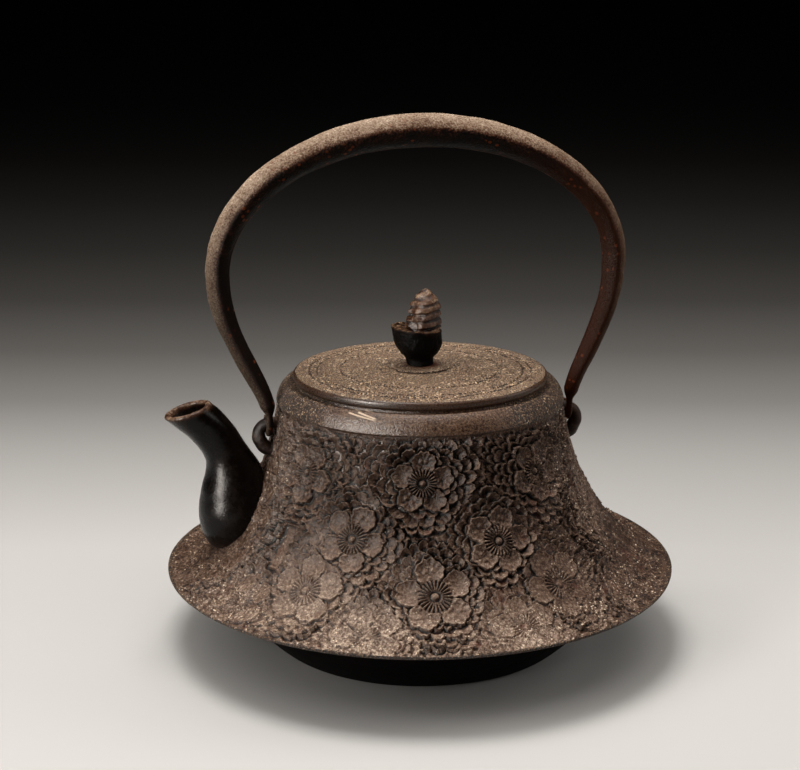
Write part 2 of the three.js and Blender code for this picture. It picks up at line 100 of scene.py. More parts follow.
def turned(profile, angles):
    """Points of a profile of (radius, height) rows turned to each angle in degrees: r cos a, r sin a, z."""
    a = np.radians(angles)
    r, z = profile[:, :1], profile[:, 1:]
    return np.stack([r * np.cos(a), r * np.sin(a), z + 0 * a], -1)


def full_circle(columns):
    """Angles in degrees for a sheet that closes on itself."""
    return np.arange(columns) * 360 / columns


def cubic(ends, handles, count):
    """Points along a cubic Bezier curve with the two ends and the two handles between them."""
    p0, p3 = np.array(ends, float)
    p1, p2 = np.array(handles, float)
    t = np.linspace(0, 1, count)[:, None]
    s = 1 - t
    return s**3 * p0 + 3 * s**2 * t * p1 + 3 * s * t**2 * p2 + t**3 * p3


def along(line, count=None, step=None):
    """The line's points set out anew at equal distances."""
    gone = np.r_[0, np.cumsum(np.linalg.norm(np.diff(line, axis=0), axis=1))]
    count = count or max(2, int(round(gone[-1] / step)) + 1)
    at = np.linspace(0, gone[-1], count)
    return np.stack([np.interp(at, gone, axis) for axis in line.T], -1)


def unit(ways):
    """Each vector divided by its length."""
    return ways / np.maximum(np.linalg.norm(ways, axis=-1, keepdims=True), 1e-6)


def beside(line, distance):
    """The line moved sideways, to the left of its direction, by a distance or one for each point."""
    way = unit(np.gradient(line, axis=0))
    return line + np.stack([-way[:, 1], way[:, 0]], -1) * np.reshape(distance, (-1, 1))


def smooth(x, low, high):
    """0 below low, 1 above high, and 3x^2 - 2x^3 between."""
    t = np.clip((x - low) / (high - low), 0, 1)
    return t * t * (3 - 2 * t)


def hump(x, width):
    """A bell over x = 0: e to the power of minus the square of x over the width."""
    return np.exp(-((x / width) ** 2))


def lumps(points, size, seed):
    """Smooth random height from -1 to 1: random numbers at the corners of cubes of that size, mixed by an
    eased weight along each axis."""
    p = points / size + seed * 17.13
    cell = np.floor(p).astype(np.int64)
    f = p - cell
    f = f * f * (3 - 2 * f)
    total = np.zeros(points.shape[:-1])
    for corner in range(8):
        step = np.array([corner & 1, corner >> 1 & 1, corner >> 2 & 1])
        key = (cell + step) * np.array([73856093, 19349663, 83492791])
        key = key[..., 0] ^ key[..., 1] ^ key[..., 2]
        key = (key ^ (key >> 13)) * 1274126177
        height = ((key ^ (key >> 16)) & 0xFFFF) / 32767.5 - 1
        total += height * np.prod(np.where(step, f, 1 - f), -1)
    return total


def layers(points, *kinds):
    """The sum of several kinds of lumps, each given as its size, its seed and its height."""
    return sum(lumps(points, size, seed) * height for size, seed, height in kinds)


def swell(points, height):
    """Moves the points away from the upright axis, each by its height."""
    points[..., :2] += unit(points[..., :2]) * height[..., None]


# %% [markdown]
# ## Joining and cutting
# The spout is let through the wall, so its bore, the wall and the relief are cut by each other's solids.
# Every sheet is closed, so the exact cut of two closed solids stays closed.


# %% Cutting one closed solid from another
def cut(target, cutter):
    """Takes the cutter's solid out of the target's mesh, for good."""
    modifier = target.modifiers.new("cut", "BOOLEAN")
    modifier.operation = "DIFFERENCE"
    modifier.solver = "MANIFOLD"
    modifier.object = cutter
    bpy.context.view_layer.update()
    graph = bpy.context.evaluated_depsgraph_get()
    mesh = bpy.data.meshes.new_from_object(target.evaluated_get(graph))
    target.modifiers.clear()
    target.data = mesh
    mesh.name = target.name
    return target


# %% [markdown]
# ## The camera
# The photograph looks slightly down on the kettle from a little to the spout's side with a long lens.

# %% Camera
PHOTO_WIDE = 800
FOCAL_PX = 1721.7
CAMERA_AWAY = 650
CAMERA_UP = 273.3
CAMERA_ROUND = -12.5
CAMERA_TURN = -11.81
CAMERA_DOWN = 14.84

camera_data = bpy.data.cameras.new("camera")
camera_data.sensor_width = 36
camera_data.lens = FOCAL_PX * camera_data.sensor_width / PHOTO_WIDE
camera_data.clip_start, camera_data.clip_end = 0.01, 100
camera = bpy.data.objects.new("camera", camera_data)
bpy.context.scene.collection.objects.link(camera)
bpy.context.scene.camera = camera
round_angle = math.radians(CAMERA_ROUND)
camera.location = (
    CAMERA_AWAY * MM * math.sin(round_angle),
    -CAMERA_AWAY * MM * math.cos(round_angle),
    CAMERA_UP * MM,
)
camera.rotation_euler = (math.radians(90 - CAMERA_DOWN), 0, math.radians(CAMERA_TURN))
print("camera", [round(v, 4) for v in camera.location])

# %% [markdown]
# ## Shader maths
# A finish is worked out by nodes. A small class wraps a node's output so that masks are written as sums
# and products, and one method makes every other node.


# %% Shader helpers
class Wire:
    """One output of a node. Arithmetic on wires and numbers adds the Math nodes."""

    def __init__(self, finish, socket):
        self.finish, self.socket = finish, socket

    def _math(self, operation, a, b):
        return self.finish.add("ShaderNodeMath", {"operation": operation}, {0: a, 1: b})

    def __add__(self, other):
        return self._math("ADD", self, other)

    def __sub__(self, other):
        return self._math("SUBTRACT", self, other)

    def __rsub__(self, other):
        return self._math("SUBTRACT", other, self)

    def __mul__(self, other):
        return self._math("MULTIPLY", self, other)

    def __truediv__(self, other):
        return self._math("DIVIDE", self, other)

    def __rtruediv__(self, other):
        return self._math("DIVIDE", other, self)

    __radd__, __rmul__ = __add__, __mul__

    def above(self, low, high):
        """0 below low, 1 above high, smooth between."""
        settings = {"interpolation_type": "SMOOTHSTEP"}
        return self.finish.add("ShaderNodeMapRange", settings, {0: self, 1: low, 2: high})


class Finish:
    """A material's node tree, with its Principled shader and its place on the object."""

    def __init__(self, name, **constants):
        self.material = bpy.data.materials.new(name)
        self.material.use_nodes = True
        self.tree = self.material.node_tree
        self.shader = self.tree.nodes["Principled BSDF"]
        for key, value in constants.items():
            self.shader.inputs[key.replace("_", " ")].default_value = value
        self.place = self.add("ShaderNodeTexCoord", out="Object")

    def add(self, kind, settings=None, inputs=None, out=0):
        """A node of that type: its settings first, then the values or wires of its sockets."""
        node = self.tree.nodes.new(kind)
        for key, value in (settings or {}).items():
            if key == "stops":
                ramp = node.color_ramp.elements
                for number, (at, colour) in enumerate(value):
                    stop = ramp[0] if number == 0 else ramp[-1] if number == len(value) - 1 else ramp.new(at)
                    stop.position, stop.color = at, as_colour(colour)
            else:
                setattr(node, key, value)
        for key, value in (inputs or {}).items():
            if isinstance(value, Wire):
                self.tree.links.new(value.socket, node.inputs[key])
            else:
                node.inputs[key].default_value = value
        return Wire(self, node.outputs[out])

    def noise(self, per_metre, detail=3, roughness=0.6, stretch=None, shift=0.0):
        """Noise from 0 to 1 with so many lumps in a metre; stretch scales it along each axis."""
        place = self.add(
            "ShaderNodeMapping",
            inputs={"Vector": self.place, "Scale": stretch or (1, 1, 1), "Location": (shift, shift, shift)},
        )
        inputs = {"Vector": place, "Scale": per_metre, "Detail": detail, "Roughness": roughness}
        return self.add("ShaderNodeTexNoise", inputs=inputs)

    def spots(self, per_metre, shift=0.0):
        """Distance from the nearest of many scattered points, 0 at a point."""
        inputs = {"Vector": self.place, "Location": (shift, shift, shift)}
        place = self.add("ShaderNodeMapping", inputs=inputs)
        return self.add("ShaderNodeTexVoronoi", inputs={"Vector": place, "Scale": per_metre})

    def value(self, name):
        """The number that the mesh carries under that name."""
        return self.add("ShaderNodeAttribute", {"attribute_name": name}, out="Fac")

    def axis(self, letter):
        """One of the three Object coordinates, in metres."""
        return self.add("ShaderNodeSeparateXYZ", inputs={0: self.place}, out="XYZ".index(letter))

    def mix(self, share, a, b):
        """Colour a where share is 0 and b where it is 1."""
        settings = {"data_type": "RGBA", "clamp_factor": True}
        return self.add("ShaderNodeMix", settings, {0: share, 6: as_colour(a), 7: as_colour(b)}, out=2)

    def ramp(self, value, stops):
        """A colour picked by the value along stops of (value, screen colour)."""
        return self.add("ShaderNodeValToRGB", {"stops": stops}, {0: value})

    def glints_and_rust_specks(self, per_metre, size, shift=0.0):
        """1 on small scattered points, 0 elsewhere; about a third of the points show. Mixed in pale they are
        painted glints; on the handle they are rust specks.
        """
        some = self.noise(per_metre * 0.4, 1, 0.5, shift=shift + 4.0).above(0.5, 0.6)
        return (1 - self.spots(per_metre, shift).above(size * 0.5, size)) * some

    def along(self, way, start=(0, 0, 0)):
        """How far the surface lies from a start in mm along a direction."""
        settings = {"operation": "DOT_PRODUCT"}
        reach = self.add("ShaderNodeVectorMath", settings, {0: self.place, 1: way}, out=1)
        return reach * (1 / MM) - float(np.dot(way, start))

    def set(self, **wires):
        """Wires into the shader's sockets; gives the material."""
        for key, wire in wires.items():
            self.tree.links.new(wire.socket, self.shader.inputs[key.replace("_", " ")])
        return self.material

    def cast(self, tone, roughness, grain, depth):
        """The material with this tone and roughness, and with its grain raised by a depth in metres."""
        inputs = {"Height": grain, "Distance": depth, "Strength": 1.0}
        normal = self.add("ShaderNodeBump", inputs=inputs)
        return self.set(Base_Color=tone, Roughness=roughness, Normal=normal)


def as_colour(value):
    """A wire as it is, or screen values from 0 to 255 as a linear colour."""
    if isinstance(value, Wire):
        return value
    return (*[linear(v) for v in value], 1)


def linear(level):
    """The linear light of a screen level from 0 to 255."""
    v = level / 255
    return v / 12.92 if v <= 0.04045 else ((v + 0.055) / 1.055) ** 2.4


# %% [markdown]
# ## Sizes of the casting
# The wall's outline is one curve from the smooth collar down to the skirt's rim, as in the solid model.

# %% Wall outline
COLLAR_R, COLLAR_Z = 55.6, 96.4
WALL_LEAN, WALL_REACH = 9.5, 26.8
SKIRT_R, SKIRT_Z = 100.0, 30.3
SKIRT_SLOPE, SKIRT_REACH = 19, 29.6
WALL_T, RIM_T, THINS_FROM = 3.0, 1.5, 0.6
SHOULDER_R, COLLAR_BULGE, COLLAR_STEP, BODY_TOP, MOUTH_R = 50.2, 4.3, 0.5, 104.0, 44.0


def turned_by(degrees, reach):
    """How far a reach in that direction goes across and up."""
    return np.array([math.cos(math.radians(degrees)), math.sin(math.radians(degrees))]) * reach


wall_ends = [(COLLAR_R, COLLAR_Z), (SKIRT_R, SKIRT_Z)]
wall_handles = [
    np.array(wall_ends[0]) + turned_by(WALL_LEAN - 90, WALL_REACH),
    np.array(wall_ends[1]) + turned_by(180 - SKIRT_SLOPE, SKIRT_REACH),
]
wall_fine = along(cubic(wall_ends, wall_handles, 2000), 2000)
wall_length = np.linalg.norm(np.diff(wall_fine, axis=0), axis=1).sum()
wall_s = np.linspace(0, wall_length, len(wall_fine))
wall_out = beside(wall_fine, 1) - wall_fine


def wall_at(s):
    """Radius, height and the outward way of the wall's line at a distance s from the collar, in mm."""
    line = [np.interp(s, wall_s, wall_fine[:, i]) for i in (0, 1)]
    out = [np.interp(s, wall_s, wall_out[:, i]) for i in (0, 1)]
    return (*line, *out)


def s_of_height(z):
    """The distance down the wall's line at which the line has that height."""
    return np.interp(-np.asarray(z, float), -wall_fine[:, 1], wall_s)


print("wall line", round(wall_length, 1), "mm, outward at the collar", wall_out[0].round(2))

# %% [markdown]
# ## Blossoms on a ground of small petals
# The founder pressed the pattern into the mould: open blossoms with a boss, a ring of fine stamens and five
# broad petals, each set in rings of small overlapping petals that spread until they meet the rings of the
# next blossom. Here that is one height over the wall: each point belongs to its nearest blossom, and its
# distance from it says which ring of petals it is in.

# %% Where the blossoms are
BLOSSOM_ROWS = [
    {"count": 8, "first": -101.4, "height": 79.8, "radius": 11.2, "worn": 0.0},
    {"count": 8, "first": -77.6, "height": 59.2, "radius": 12.3, "worn": 0.0},
    {"count": 10, "first": -97.9, "height": 42.6, "radius": 13.7, "worn": 0.45},
    {"count": 10, "first": -77.6, "height": 33.4, "radius": 12.4, "worn": 0.5},
]
rng = np.random.default_rng(7)
blossoms = []
for row in BLOSSOM_ROWS:
    for k in range(row["count"]):
        shaken = rng.normal(0, 1, 3)
        angle = row["first"] + k * 360 / row["count"] + shaken[0] * 0.8
        height = row["height"] + shaken[1] * 0.7
        worn = row["worn"] if k or row["height"] < 40 else 0
        blossoms.append([math.radians(angle), float(s_of_height(height)), row["radius"], shaken[2], 1 - worn])
blossoms = np.array(blossoms)
print(len(blossoms), "blossoms")

# %% The height of the relief
PETAL_ROW = 3.0
PETAL_WIDE = 4.7
PETALS = 5
STAMENS = 24


def turned_into(angle, share):
    """The angle brought into the half-open span of one share of a circle round 0."""
    return (angle + share / 2) % share - share / 2


def scattered(a, b, c):
    """A random number from 0 to 1 for three whole numbers: the broken part of a large sine."""
    return np.sin(a * 12.9898 + b * 78.233 + c * 37.719) * 43758.5453 % 1


def ground_height(distance, angle, first, number):
    """Rings of small petals from a radius outwards. A point lies in the first ring whose scalloped edge is
    beyond it; its height climbs towards that edge and falls off sharply past it."""
    rings = (distance - first) / PETAL_ROW
    best = np.full(distance.shape, np.inf)
    ring = np.zeros(distance.shape)
    lobe = np.zeros(distance.shape)
    for step in (1, 0, -1):
        k = np.maximum(np.floor(rings) + step, 0)
        wide = PETAL_WIDE * (0.75 + 0.55 * scattered(k, number, 11))
        many = np.maximum(np.round(2 * np.pi * (first + (k + 0.5) * PETAL_ROW) / wide), 6)
        u = angle * many / (2 * np.pi) + 0.5 * k + scattered(k, number, 3)
        c = 2 * (u - np.floor(u)) - 1
        own = scattered(np.floor(u) % many, k, number)
        longer = 0.75 * (own - 0.5)
        ripple = 0.045 * np.cos(3.3 * np.pi * c + 9 * own)
        edge = k + 0.5 + longer + (0.55 - longer * 0.4) * (1 - np.abs(c) ** 2.4) + ripple
        inside = rings < edge
        best = np.where(inside, edge - rings, best)
        ring = np.where(inside, k, ring)
        lobe = np.where(inside, np.floor(u) % many, lobe)
    best = np.where(np.isinf(best), 0.5, best)
    climb = np.clip(1 - best / 1.15, 0, 1) ** 1.1
    lip = hump(best, 0.16)
    return (0.9 * climb + 0.2 * lip) * (0.5 + 0.8 * scattered(lobe, ring, number + 7))


def petal_height(distance, angle, radius, centre, size, number):
    """Five round petals: how far the point is inside the nearest one's edge, and its cupped height. The edge
    is a circle with a notch at its outer end and a few waves."""
    which = np.round(angle / (2 * np.pi / PETALS))
    psi = turned_into(angle, 2 * np.pi / PETALS)
    own = scattered(which % PETALS, number, 5)
    x = distance * np.cos(psi) - centre * radius
    y = distance * np.sin(psi)
    away = np.hypot(x, y)
    alpha = np.arctan2(y, x)
    notch = 0.13 * hump(alpha, 0.2)
    waves = 0.05 * np.cos(5 * alpha + 9 * own) + 0.03 * np.cos(11 * alpha + 5 * own)
    edge = size * radius * (0.95 + 0.12 * own - notch + waves)
    inside = edge - away
    share = np.clip(away / edge, 0, 1)
    cup = 0.62 * share**2 + 0.08 * hump(share - 0.93, 0.08) - 0.32
    streaks = 0.04 * np.cos(12 * alpha) * smooth(share, 0.3, 0.8)
    seeds = 0.3 * hump(np.hypot(x / edge - 0.15 * own, np.abs(y / edge) - 0.3 * own), 0.16)
    return inside, cup + streaks + seeds * (own > 0.45) + 0.24 * (own - 0.5)


def relief(angle, s):
    """The pattern's height over the wall in mm."""
    radius = wall_at(s)[0]
    here = np.stack([radius * np.cos(angle), radius * np.sin(angle), s], -1)
    wander = layers(here, (12.0, 1, 1.0), (4.5, 6, 0.6), (1.6, 15, 0.07))
    turn = layers(here, (7.0, 8, 0.7), (3.0, 13, 0.25))
    nearest = np.full(s.shape, np.inf)
    held = np.zeros((*s.shape, 6))
    for number, (b_angle, b_s, b_radius, b_seed, b_bold) in enumerate(blossoms):
        mean_radius = (radius + wall_at(b_s)[0]) / 2
        u = turned_into(angle - b_angle, 2 * np.pi) * mean_radius
        v = b_s - s
        distance = np.hypot(u, v)
        closer = distance - b_radius < nearest
        nearest = np.where(closer, distance - b_radius, nearest)
        row = np.stack(np.broadcast_arrays(distance, np.arctan2(v, u), b_radius, b_seed, number, b_bold), -1)
        held = np.where(closer[..., None], row, held)
    distance, phi, size, seed, number, bold = (held[..., i] for i in range(6))
    phi = phi + seed
    height = ground_height(distance + wander, phi + turn / np.maximum(distance, 3), size * 0.62, number)
    height = height * (0.55 + 0.6 * smooth(layers(here, (8.0, 14, 1.0), (3.0, 16, 0.5)), -0.8, 0.4))
    inside, cup = petal_height(distance + wander * 0.35, phi, size, 0.66, 0.385, number)
    on_petal = smooth(inside, -0.05, 0.3)
    shade = 1 - 0.6 * hump(np.minimum(inside, 0), 0.7) * (inside <= 0)
    height = height * (0.2 + 0.8 * shade) * (1 - on_petal) + (0.54 + cup) * on_petal
    x = distance / size
    disc = 1 - smooth(x, 0.43, 0.49)
    ribs = smooth(np.cos(STAMENS * phi), -0.2, 0.7) * smooth(x, 0.14, 0.2) * (1 - smooth(x, 0.42, 0.48))
    beads = hump(x - 0.53, 0.03) * smooth(np.cos(STAMENS / 2 * phi + 1), 0.3, 0.9)
    boss = np.sqrt(np.clip(1 - (x / 0.11) ** 2, 0, 1))
    height = height * (1 - disc) + disc * (0.28 + 0.6 * ribs + 0.6 * boss) + 0.25 * beads
    faded = 1 - (1 - bold) * (1 - smooth(x, 0.9, 1.3))
    return 0.5 + (height - 0.5) * faded


print("relief ready")

# %% [markdown]
# ## The relief skin
# The skin covers the wall from the collar to the rim in six slabs, each a closed sheet whose outer face
# carries the pattern and whose inner face lies in the casting. Six slabs keep each mesh light.

# %% Build the skin
SECTORS = 6
FRONT = -102.5
COLUMNS = 258
ROWS = 356
SKIN_T = 1.6
RELIEF_BASE = -0.9
RELIEF_TALL = 1.8
SPOUT_PANEL = 5
MARGIN = 6
INNER_ROWS = 14
WEAR_REACH = 5
CALM_BY_SPOUT, BOLD_FROM_SPOUT = 14, 34
CARTOUCHE_ANGLE, CARTOUCHE_Z, CARTOUCHE_HALF_W, CARTOUCHE_HALF_H = -147.0, 53.0, 2.7, 8.0
EAR_Z, EAR_FLAT, EAR_CLEAR = 84.6, 11, 20


def blurred(height, reach):
    """The mean height of the square of points up to reach away, by running sums along rows and columns."""
    for axis in (0, 1):
        wide = np.pad(height, [(reach + 1, reach) if i == axis else (0, 0) for i in (0, 1)], mode="edge")
        total = np.cumsum(wide, axis=axis)
        side = 2 * reach + 1
        ahead, behind = np.split(total, [side], axis=axis)[1], np.split(total, [-side], axis=axis)[0]
        height = (ahead - behind) / side
    return height


def cartouche(angle, z, r, height, keep):
    """A narrow upright panel, bare and a little sunk, with a short raised bar at its top and bottom."""
    across = np.abs(turned_into(angle - math.radians(CARTOUCHE_ANGLE), 2 * np.pi)) * r
    up = np.abs(z - CARTOUCHE_Z)
    panel = 1 - smooth(across, CARTOUCHE_HALF_W, CARTOUCHE_HALF_W + 0.7)
    panel = panel * (1 - smooth(up, CARTOUCHE_HALF_H, CARTOUCHE_HALF_H + 0.7))
    bar = hump(up - CARTOUCHE_HALF_H + 0.9, 0.42) * (1 - smooth(across, 1.9, 2.5))
    return height * (1 - panel) + (0.15 + 0.6 * bar) * panel, keep * (1 - panel) + 0.9 * panel


def skin(start, span):
    """One slab: the relief on its outer face, plain inside, with what its finish needs at each point."""
    step = span / (COLUMNS - 1)
    angles = np.radians(start + (np.arange(COLUMNS + 2 * MARGIN) - MARGIN) * step)
    angle, s = np.meshgrid(angles, np.linspace(0, wall_length, ROWS), indexing="xy")
    height = relief(angle, s)
    r, z, out_r, out_z = wall_at(s)
    here = np.stack([r * np.cos(angle), r * np.sin(angle), z], -1)
    round_front = turned_into(angle - math.radians(FRONT), 2 * np.pi)
    aside = np.abs(round_front)
    from_spout = np.hypot(turned_into(angle - math.pi, 2 * np.pi) * r, z - 55)
    from_ear = np.hypot(turned_into(angle, np.pi) * r, z - EAR_Z)
    grit = 0.8 * smooth(aside, 0.5, 1.1) + 0.7 * smooth(z, 44, 32) + 0.35 * lumps(here, 34.0, 9)
    grit = np.clip(grit, 0.12, 1)
    at_side = smooth(aside, 0.95, 1.35) * (1 - smooth(aside, 1.9, 2.4))
    keep = 0.45 + 0.55 * smooth(from_spout, CALM_BY_SPOUT, BOLD_FROM_SPOUT)
    keep = keep * (1 - 0.5 * at_side) * (1 - 0.25 * grit)
    keep = keep * (1.2 + 0.25 * smooth(z, 45, 75) + 0.3 * lumps(here, 26.0, 5))
    height, keep = cartouche(angle, z, r, height, keep)
    ends = smooth(s, 0, 3.5) * (1 - smooth(s, wall_length - 1.6, wall_length))
    sand = lumps(here, 0.8, 2) * 0.13 + lumps(here * (1, 1, 0.5), 1.5, 3) * 0.16
    grain = sand * (0.25 + 0.9 * grit) + lumps(here, 9.0, 4) * 0.14
    lift = (RELIEF_BASE + height * keep * RELIEF_TALL + grain) * ends - 0.1 * (1 - ends)
    lift = lift - 0.45 * hump(s - 1.7, 0.9)
    lift = lift - (1 - smooth(from_ear, EAR_FLAT, EAR_CLEAR)) * np.maximum(lift + 0.1, 0)
    # Lift minus its local mean: high on petal lips, low in the hollows. The finish paints the hollows dark,
    # which is painted shade, and the lips a little lighter, partly as wear and partly as painted highlight.
    wear_and_hollow_shade = lift - blurred(lift, WEAR_REACH)
    outward = np.stack([out_r * np.cos(angle), out_r * np.sin(angle), out_z], -1)
    outer = here + outward * lift[..., None]
    facing = unit(np.cross(np.gradient(outer, axis=0), np.gradient(outer, axis=1)))
    # Paler on faces that look up, most at the front and low on the wall: partly dust and partly painted top
    # light.
    front_dust_and_light = 0.15 + 0.85 * hump(round_front + 0.25, 0.75)
    dust = np.clip(facing[..., 2], 0, 1) * smooth(z, 74, 30) * front_dust_and_light
    # Low at the sides the value is lowered, which is painted shade.
    dust = dust - 0.4 * smooth(np.abs(round_front + 0.1), 0.7, 1.3) * smooth(z, 60, 45)
    crop = slice(MARGIN, -MARGIN)
    kept = [part[:, crop] for part in (outer, wear_and_hollow_shade, dust, grit)]
    angle, s = np.meshgrid(angles[crop], np.linspace(wall_length - 0.6, 0.6, INNER_ROWS), indexing="xy")
    r, z, out_r, out_z = wall_at(s)
    depth = np.interp(s, [0, wall_length * 0.8, wall_length], [SKIN_T, SKIN_T, RIM_T * 0.5])
    r, z = r - out_r * depth, z - out_z * depth
    inner = np.stack([r * np.cos(angle), r * np.sin(angle), z], -1)
    plain = np.zeros(inner.shape[:2])
    values = {key: np.concatenate([part, plain]) for key, part in zip(("wear", "dust", "grit"), kept[1:])}
    return np.concatenate([kept[0], inner]), values


panels = []
for sector in range(SECTORS):
    points, values = skin(FRONT - 180 / SECTORS + sector * 360 / SECTORS, 360 / SECTORS)
    panels.append(sheet_mesh("relief_panel_%d" % (sector + 1), points, wrap_rows=True, wrap_columns=False,
                             caps="columns", flip=True, values=values))
print(len(panels), "panels of", len(panels[0].data.polygons), "faces")

# %% [markdown]
# ## The casting
# Everything that the relief leaves plain is one turned surface: the satin collar, the round mouth, the wall
# inside and the rim. Its outer wall lies a little under the relief skin and comes up flush at both edges.

# %% Build the casting
CIRCLE = 288
SINK = 0.9
SEAT_GAP = 0.3
BOWL_R, SPIGOT_Z = 83.6, 30.5


def wall_sheet(s, depth):
    """Radius and height at a distance s down the wall and a depth under its face."""
    r, z, out_r, out_z = wall_at(s)
    return np.stack([r - out_r * depth, z - out_z * depth], -1)


def quadratic(a, b, c, count):
    """Points along a curve that leaves a towards b and comes to c from b."""
    t = np.linspace(0, 1, count)[:, None]
    return (1 - t) ** 2 * np.array(a) + 2 * (1 - t) * t * np.array(b) + t**2 * np.array(c)


def thickness(s):
    """The wall's thickness at a distance s down its line: full at first, then easing to the rim's."""
    return WALL_T + (RIM_T - WALL_T) * smooth(s / wall_length, THINS_FROM, 1)


up_s = np.linspace(wall_length, 0, 90)
sunk = SINK * smooth(up_s, 0.2, 1.6) * (1 - smooth(up_s, wall_length - 2.2, wall_length - 0.4))
outside = wall_sheet(up_s, sunk)
collar = quadratic(
    (COLLAR_R + COLLAR_STEP, COLLAR_Z + COLLAR_STEP),
    (SHOULDER_R + COLLAR_BULGE, BODY_TOP - COLLAR_STEP),
    (SHOULDER_R, BODY_TOP),
    30,
)
step_edge = quadratic((COLLAR_R, COLLAR_Z), (COLLAR_R + COLLAR_STEP, COLLAR_Z), collar[0], 5)[1:-1]
LEDGE_R, LEDGE_DROP = 48.0, 2.4
ledge = quadratic(
    (SHOULDER_R + 0.9, BODY_TOP - 1.0), (LEDGE_R + 0.2, BODY_TOP - LEDGE_DROP), (LEDGE_R, BODY_TOP), 9
)
mouth = np.concatenate([
    np.linspace((LEDGE_R - 0.3, BODY_TOP), (MOUTH_R + 0.8, BODY_TOP), 6),
    quadratic((MOUTH_R + 0.6, BODY_TOP), (MOUTH_R, BODY_TOP), (MOUTH_R, BODY_TOP - 0.6), 6),
    [(MOUTH_R, BODY_TOP - WALL_T + 0.4), (MOUTH_R + 0.3, BODY_TOP - WALL_T)],
])
collar_inside = beside(collar, WALL_T)[::-1][2:]
under_s = np.linspace(0.8, wall_length - 0.3, 110)
inside = wall_sheet(under_s, thickness(under_s))
under_radius, under_height = inside[:, 0], inside[:, 1]


def under_z(radius):
    """Height of the skirt's underside at a radius."""
    return np.interp(radius, under_radius, under_height)


bowl_top = float(under_z(BOWL_R)) - SEAT_GAP
spigot_r = 79.9
spigot_ring = np.array([
    (spigot_r - 2, under_z(spigot_r - 2)),
    (spigot_r - 2, SPIGOT_Z + 0.4),
    (spigot_r - 1.6, SPIGOT_Z),
    (spigot_r - 0.4, SPIGOT_Z),
    (spigot_r, SPIGOT_Z + 0.4),
    (spigot_r, under_z(spigot_r)),
])
rim_round = quadratic(inside[-1], wall_sheet(np.array([wall_length + 0.4]), RIM_T * 0.5)[0] + (0.3, 0),
                      outside[0], 7)[1:-1]
casting_profile = np.concatenate([
    outside, step_edge, collar[collar[:, 0] > SHOULDER_R + 1.2], ledge, mouth, collar_inside,
    inside[under_radius < spigot_r - 2.5], spigot_ring, inside[under_radius > spigot_r + 0.5], rim_round,
])
casting_points = turned(casting_profile, full_circle(CIRCLE))
swell(casting_points, layers(casting_points, (16.0, 11, 0.12), (3.4, 12, 0.035)))
round_front = turned_into(np.radians(full_circle(CIRCLE) - FRONT), 2 * np.pi)[None]
sandy = np.maximum(smooth(np.abs(round_front), 0.45, 0.95), smooth(-casting_points[..., 2], -40, -34))
casting = sheet_mesh("casting", casting_points, wrap_rows=True, values={"sandy": sandy})
print("casting", len(casting.data.polygons), "faces, bottom seat at", round(bowl_top, 1))

# %% [markdown]
# ## The spout
# The spout is a separate smooth shell: a pear-shaped belly low on the wall that rises through a narrow waist
# to an oblique open mouth. Its outline is two curves, the low edge and the high edge, with an ellipse
# between them at each step. The shell turns over at the lip and runs back down as the bore.

# %% Build the spout
SPOUT_Z, SPOUT_T = 55.5, 2.4
SPOUT_LOW = [(-5.6, -16.3), (2.6, -13.6), (11.3, -7.5), (18, 0.5), (21, 8.5), (22, 15.2), (23.9, 20.8),
             (30.9, 28.5), (37.5, 33.6), (43.3, 37.7)]
SPOUT_HIGH = [(-11.4, -16.2), (-13.5, -13.7), (-14.1, -8), (-9.7, -0.5), (-5.2, 7.5), (1.5, 17.2), (9.2, 25),
              (16.1, 33.5), (22.3, 39.6), (25.9, 42.7)]
SPOUT_HALF = [3, 8, 12.2, 13.5, 12.4, 10.4, 8.7, 8.1, 8.5, 9.1]
SPOUT_RINGS = 150
SPOUT_SIDES = 120
BORE_ENDS_AT = 18


def wall_radius(height):
    """The wall's radius at a height; under the rim it runs on straight."""
    height = np.asarray(height, float)
    slope = (wall_fine[-1] - wall_fine[-40]) / 40
    below = np.minimum(height - SKIRT_Z, 0)
    return np.interp(-height, -wall_fine[:, 1], wall_fine[:, 0]) + below * slope[0] / slope[1]


def through(points, count, tension=0.5):
    """A smooth line through all the points: each stretch is a cubic whose ends run parallel to the line
    between the neighbours, with the stretches weighed by the root of their length."""
    p = np.array(points, float)
    p = np.vstack([2 * p[0] - p[1], p, 2 * p[-1] - p[-2]])
    gaps = np.linalg.norm(np.diff(p, axis=0), axis=1) ** tension
    knots = np.r_[0, np.cumsum(gaps)]
    at = np.linspace(0, len(points) - 1, count)
    i = np.minimum(at.astype(int), len(points) - 2) + 1
    t = knots[i] + (at - (i - 1)) * (knots[i + 1] - knots[i])

    def mix(a, b, ta, tb):
        """The point between a and b at the share that t has between ta and tb."""
        return ((tb - t) / (tb - ta))[:, None] * a + ((t - ta) / (tb - ta))[:, None] * b

    k0, k1, k2, k3 = knots[i - 1], knots[i], knots[i + 1], knots[i + 2]
    a1, a2, a3 = mix(p[i - 1], p[i], k0, k1), mix(p[i], p[i + 1], k1, k2), mix(p[i + 1], p[i + 2], k2, k3)
    b1, b2 = mix(a1, a2, k0, k2), mix(a2, a3, k1, k3)
    return mix(b1, b2, k1, k2)


def edge_points(edge):
    """An edge's points in the XZ plane, each so far out from the wall at its own height."""
    out, up = np.array(edge, float).T
    return np.stack([-wall_radius(SPOUT_Z + up) - out, SPOUT_Z + up], -1)


spout_low = through(edge_points(SPOUT_LOW), SPOUT_RINGS)
spout_high = through(edge_points(SPOUT_HIGH), SPOUT_RINGS)
half_line = through(np.stack([np.arange(10), SPOUT_HALF], -1), SPOUT_RINGS)[:, 1]


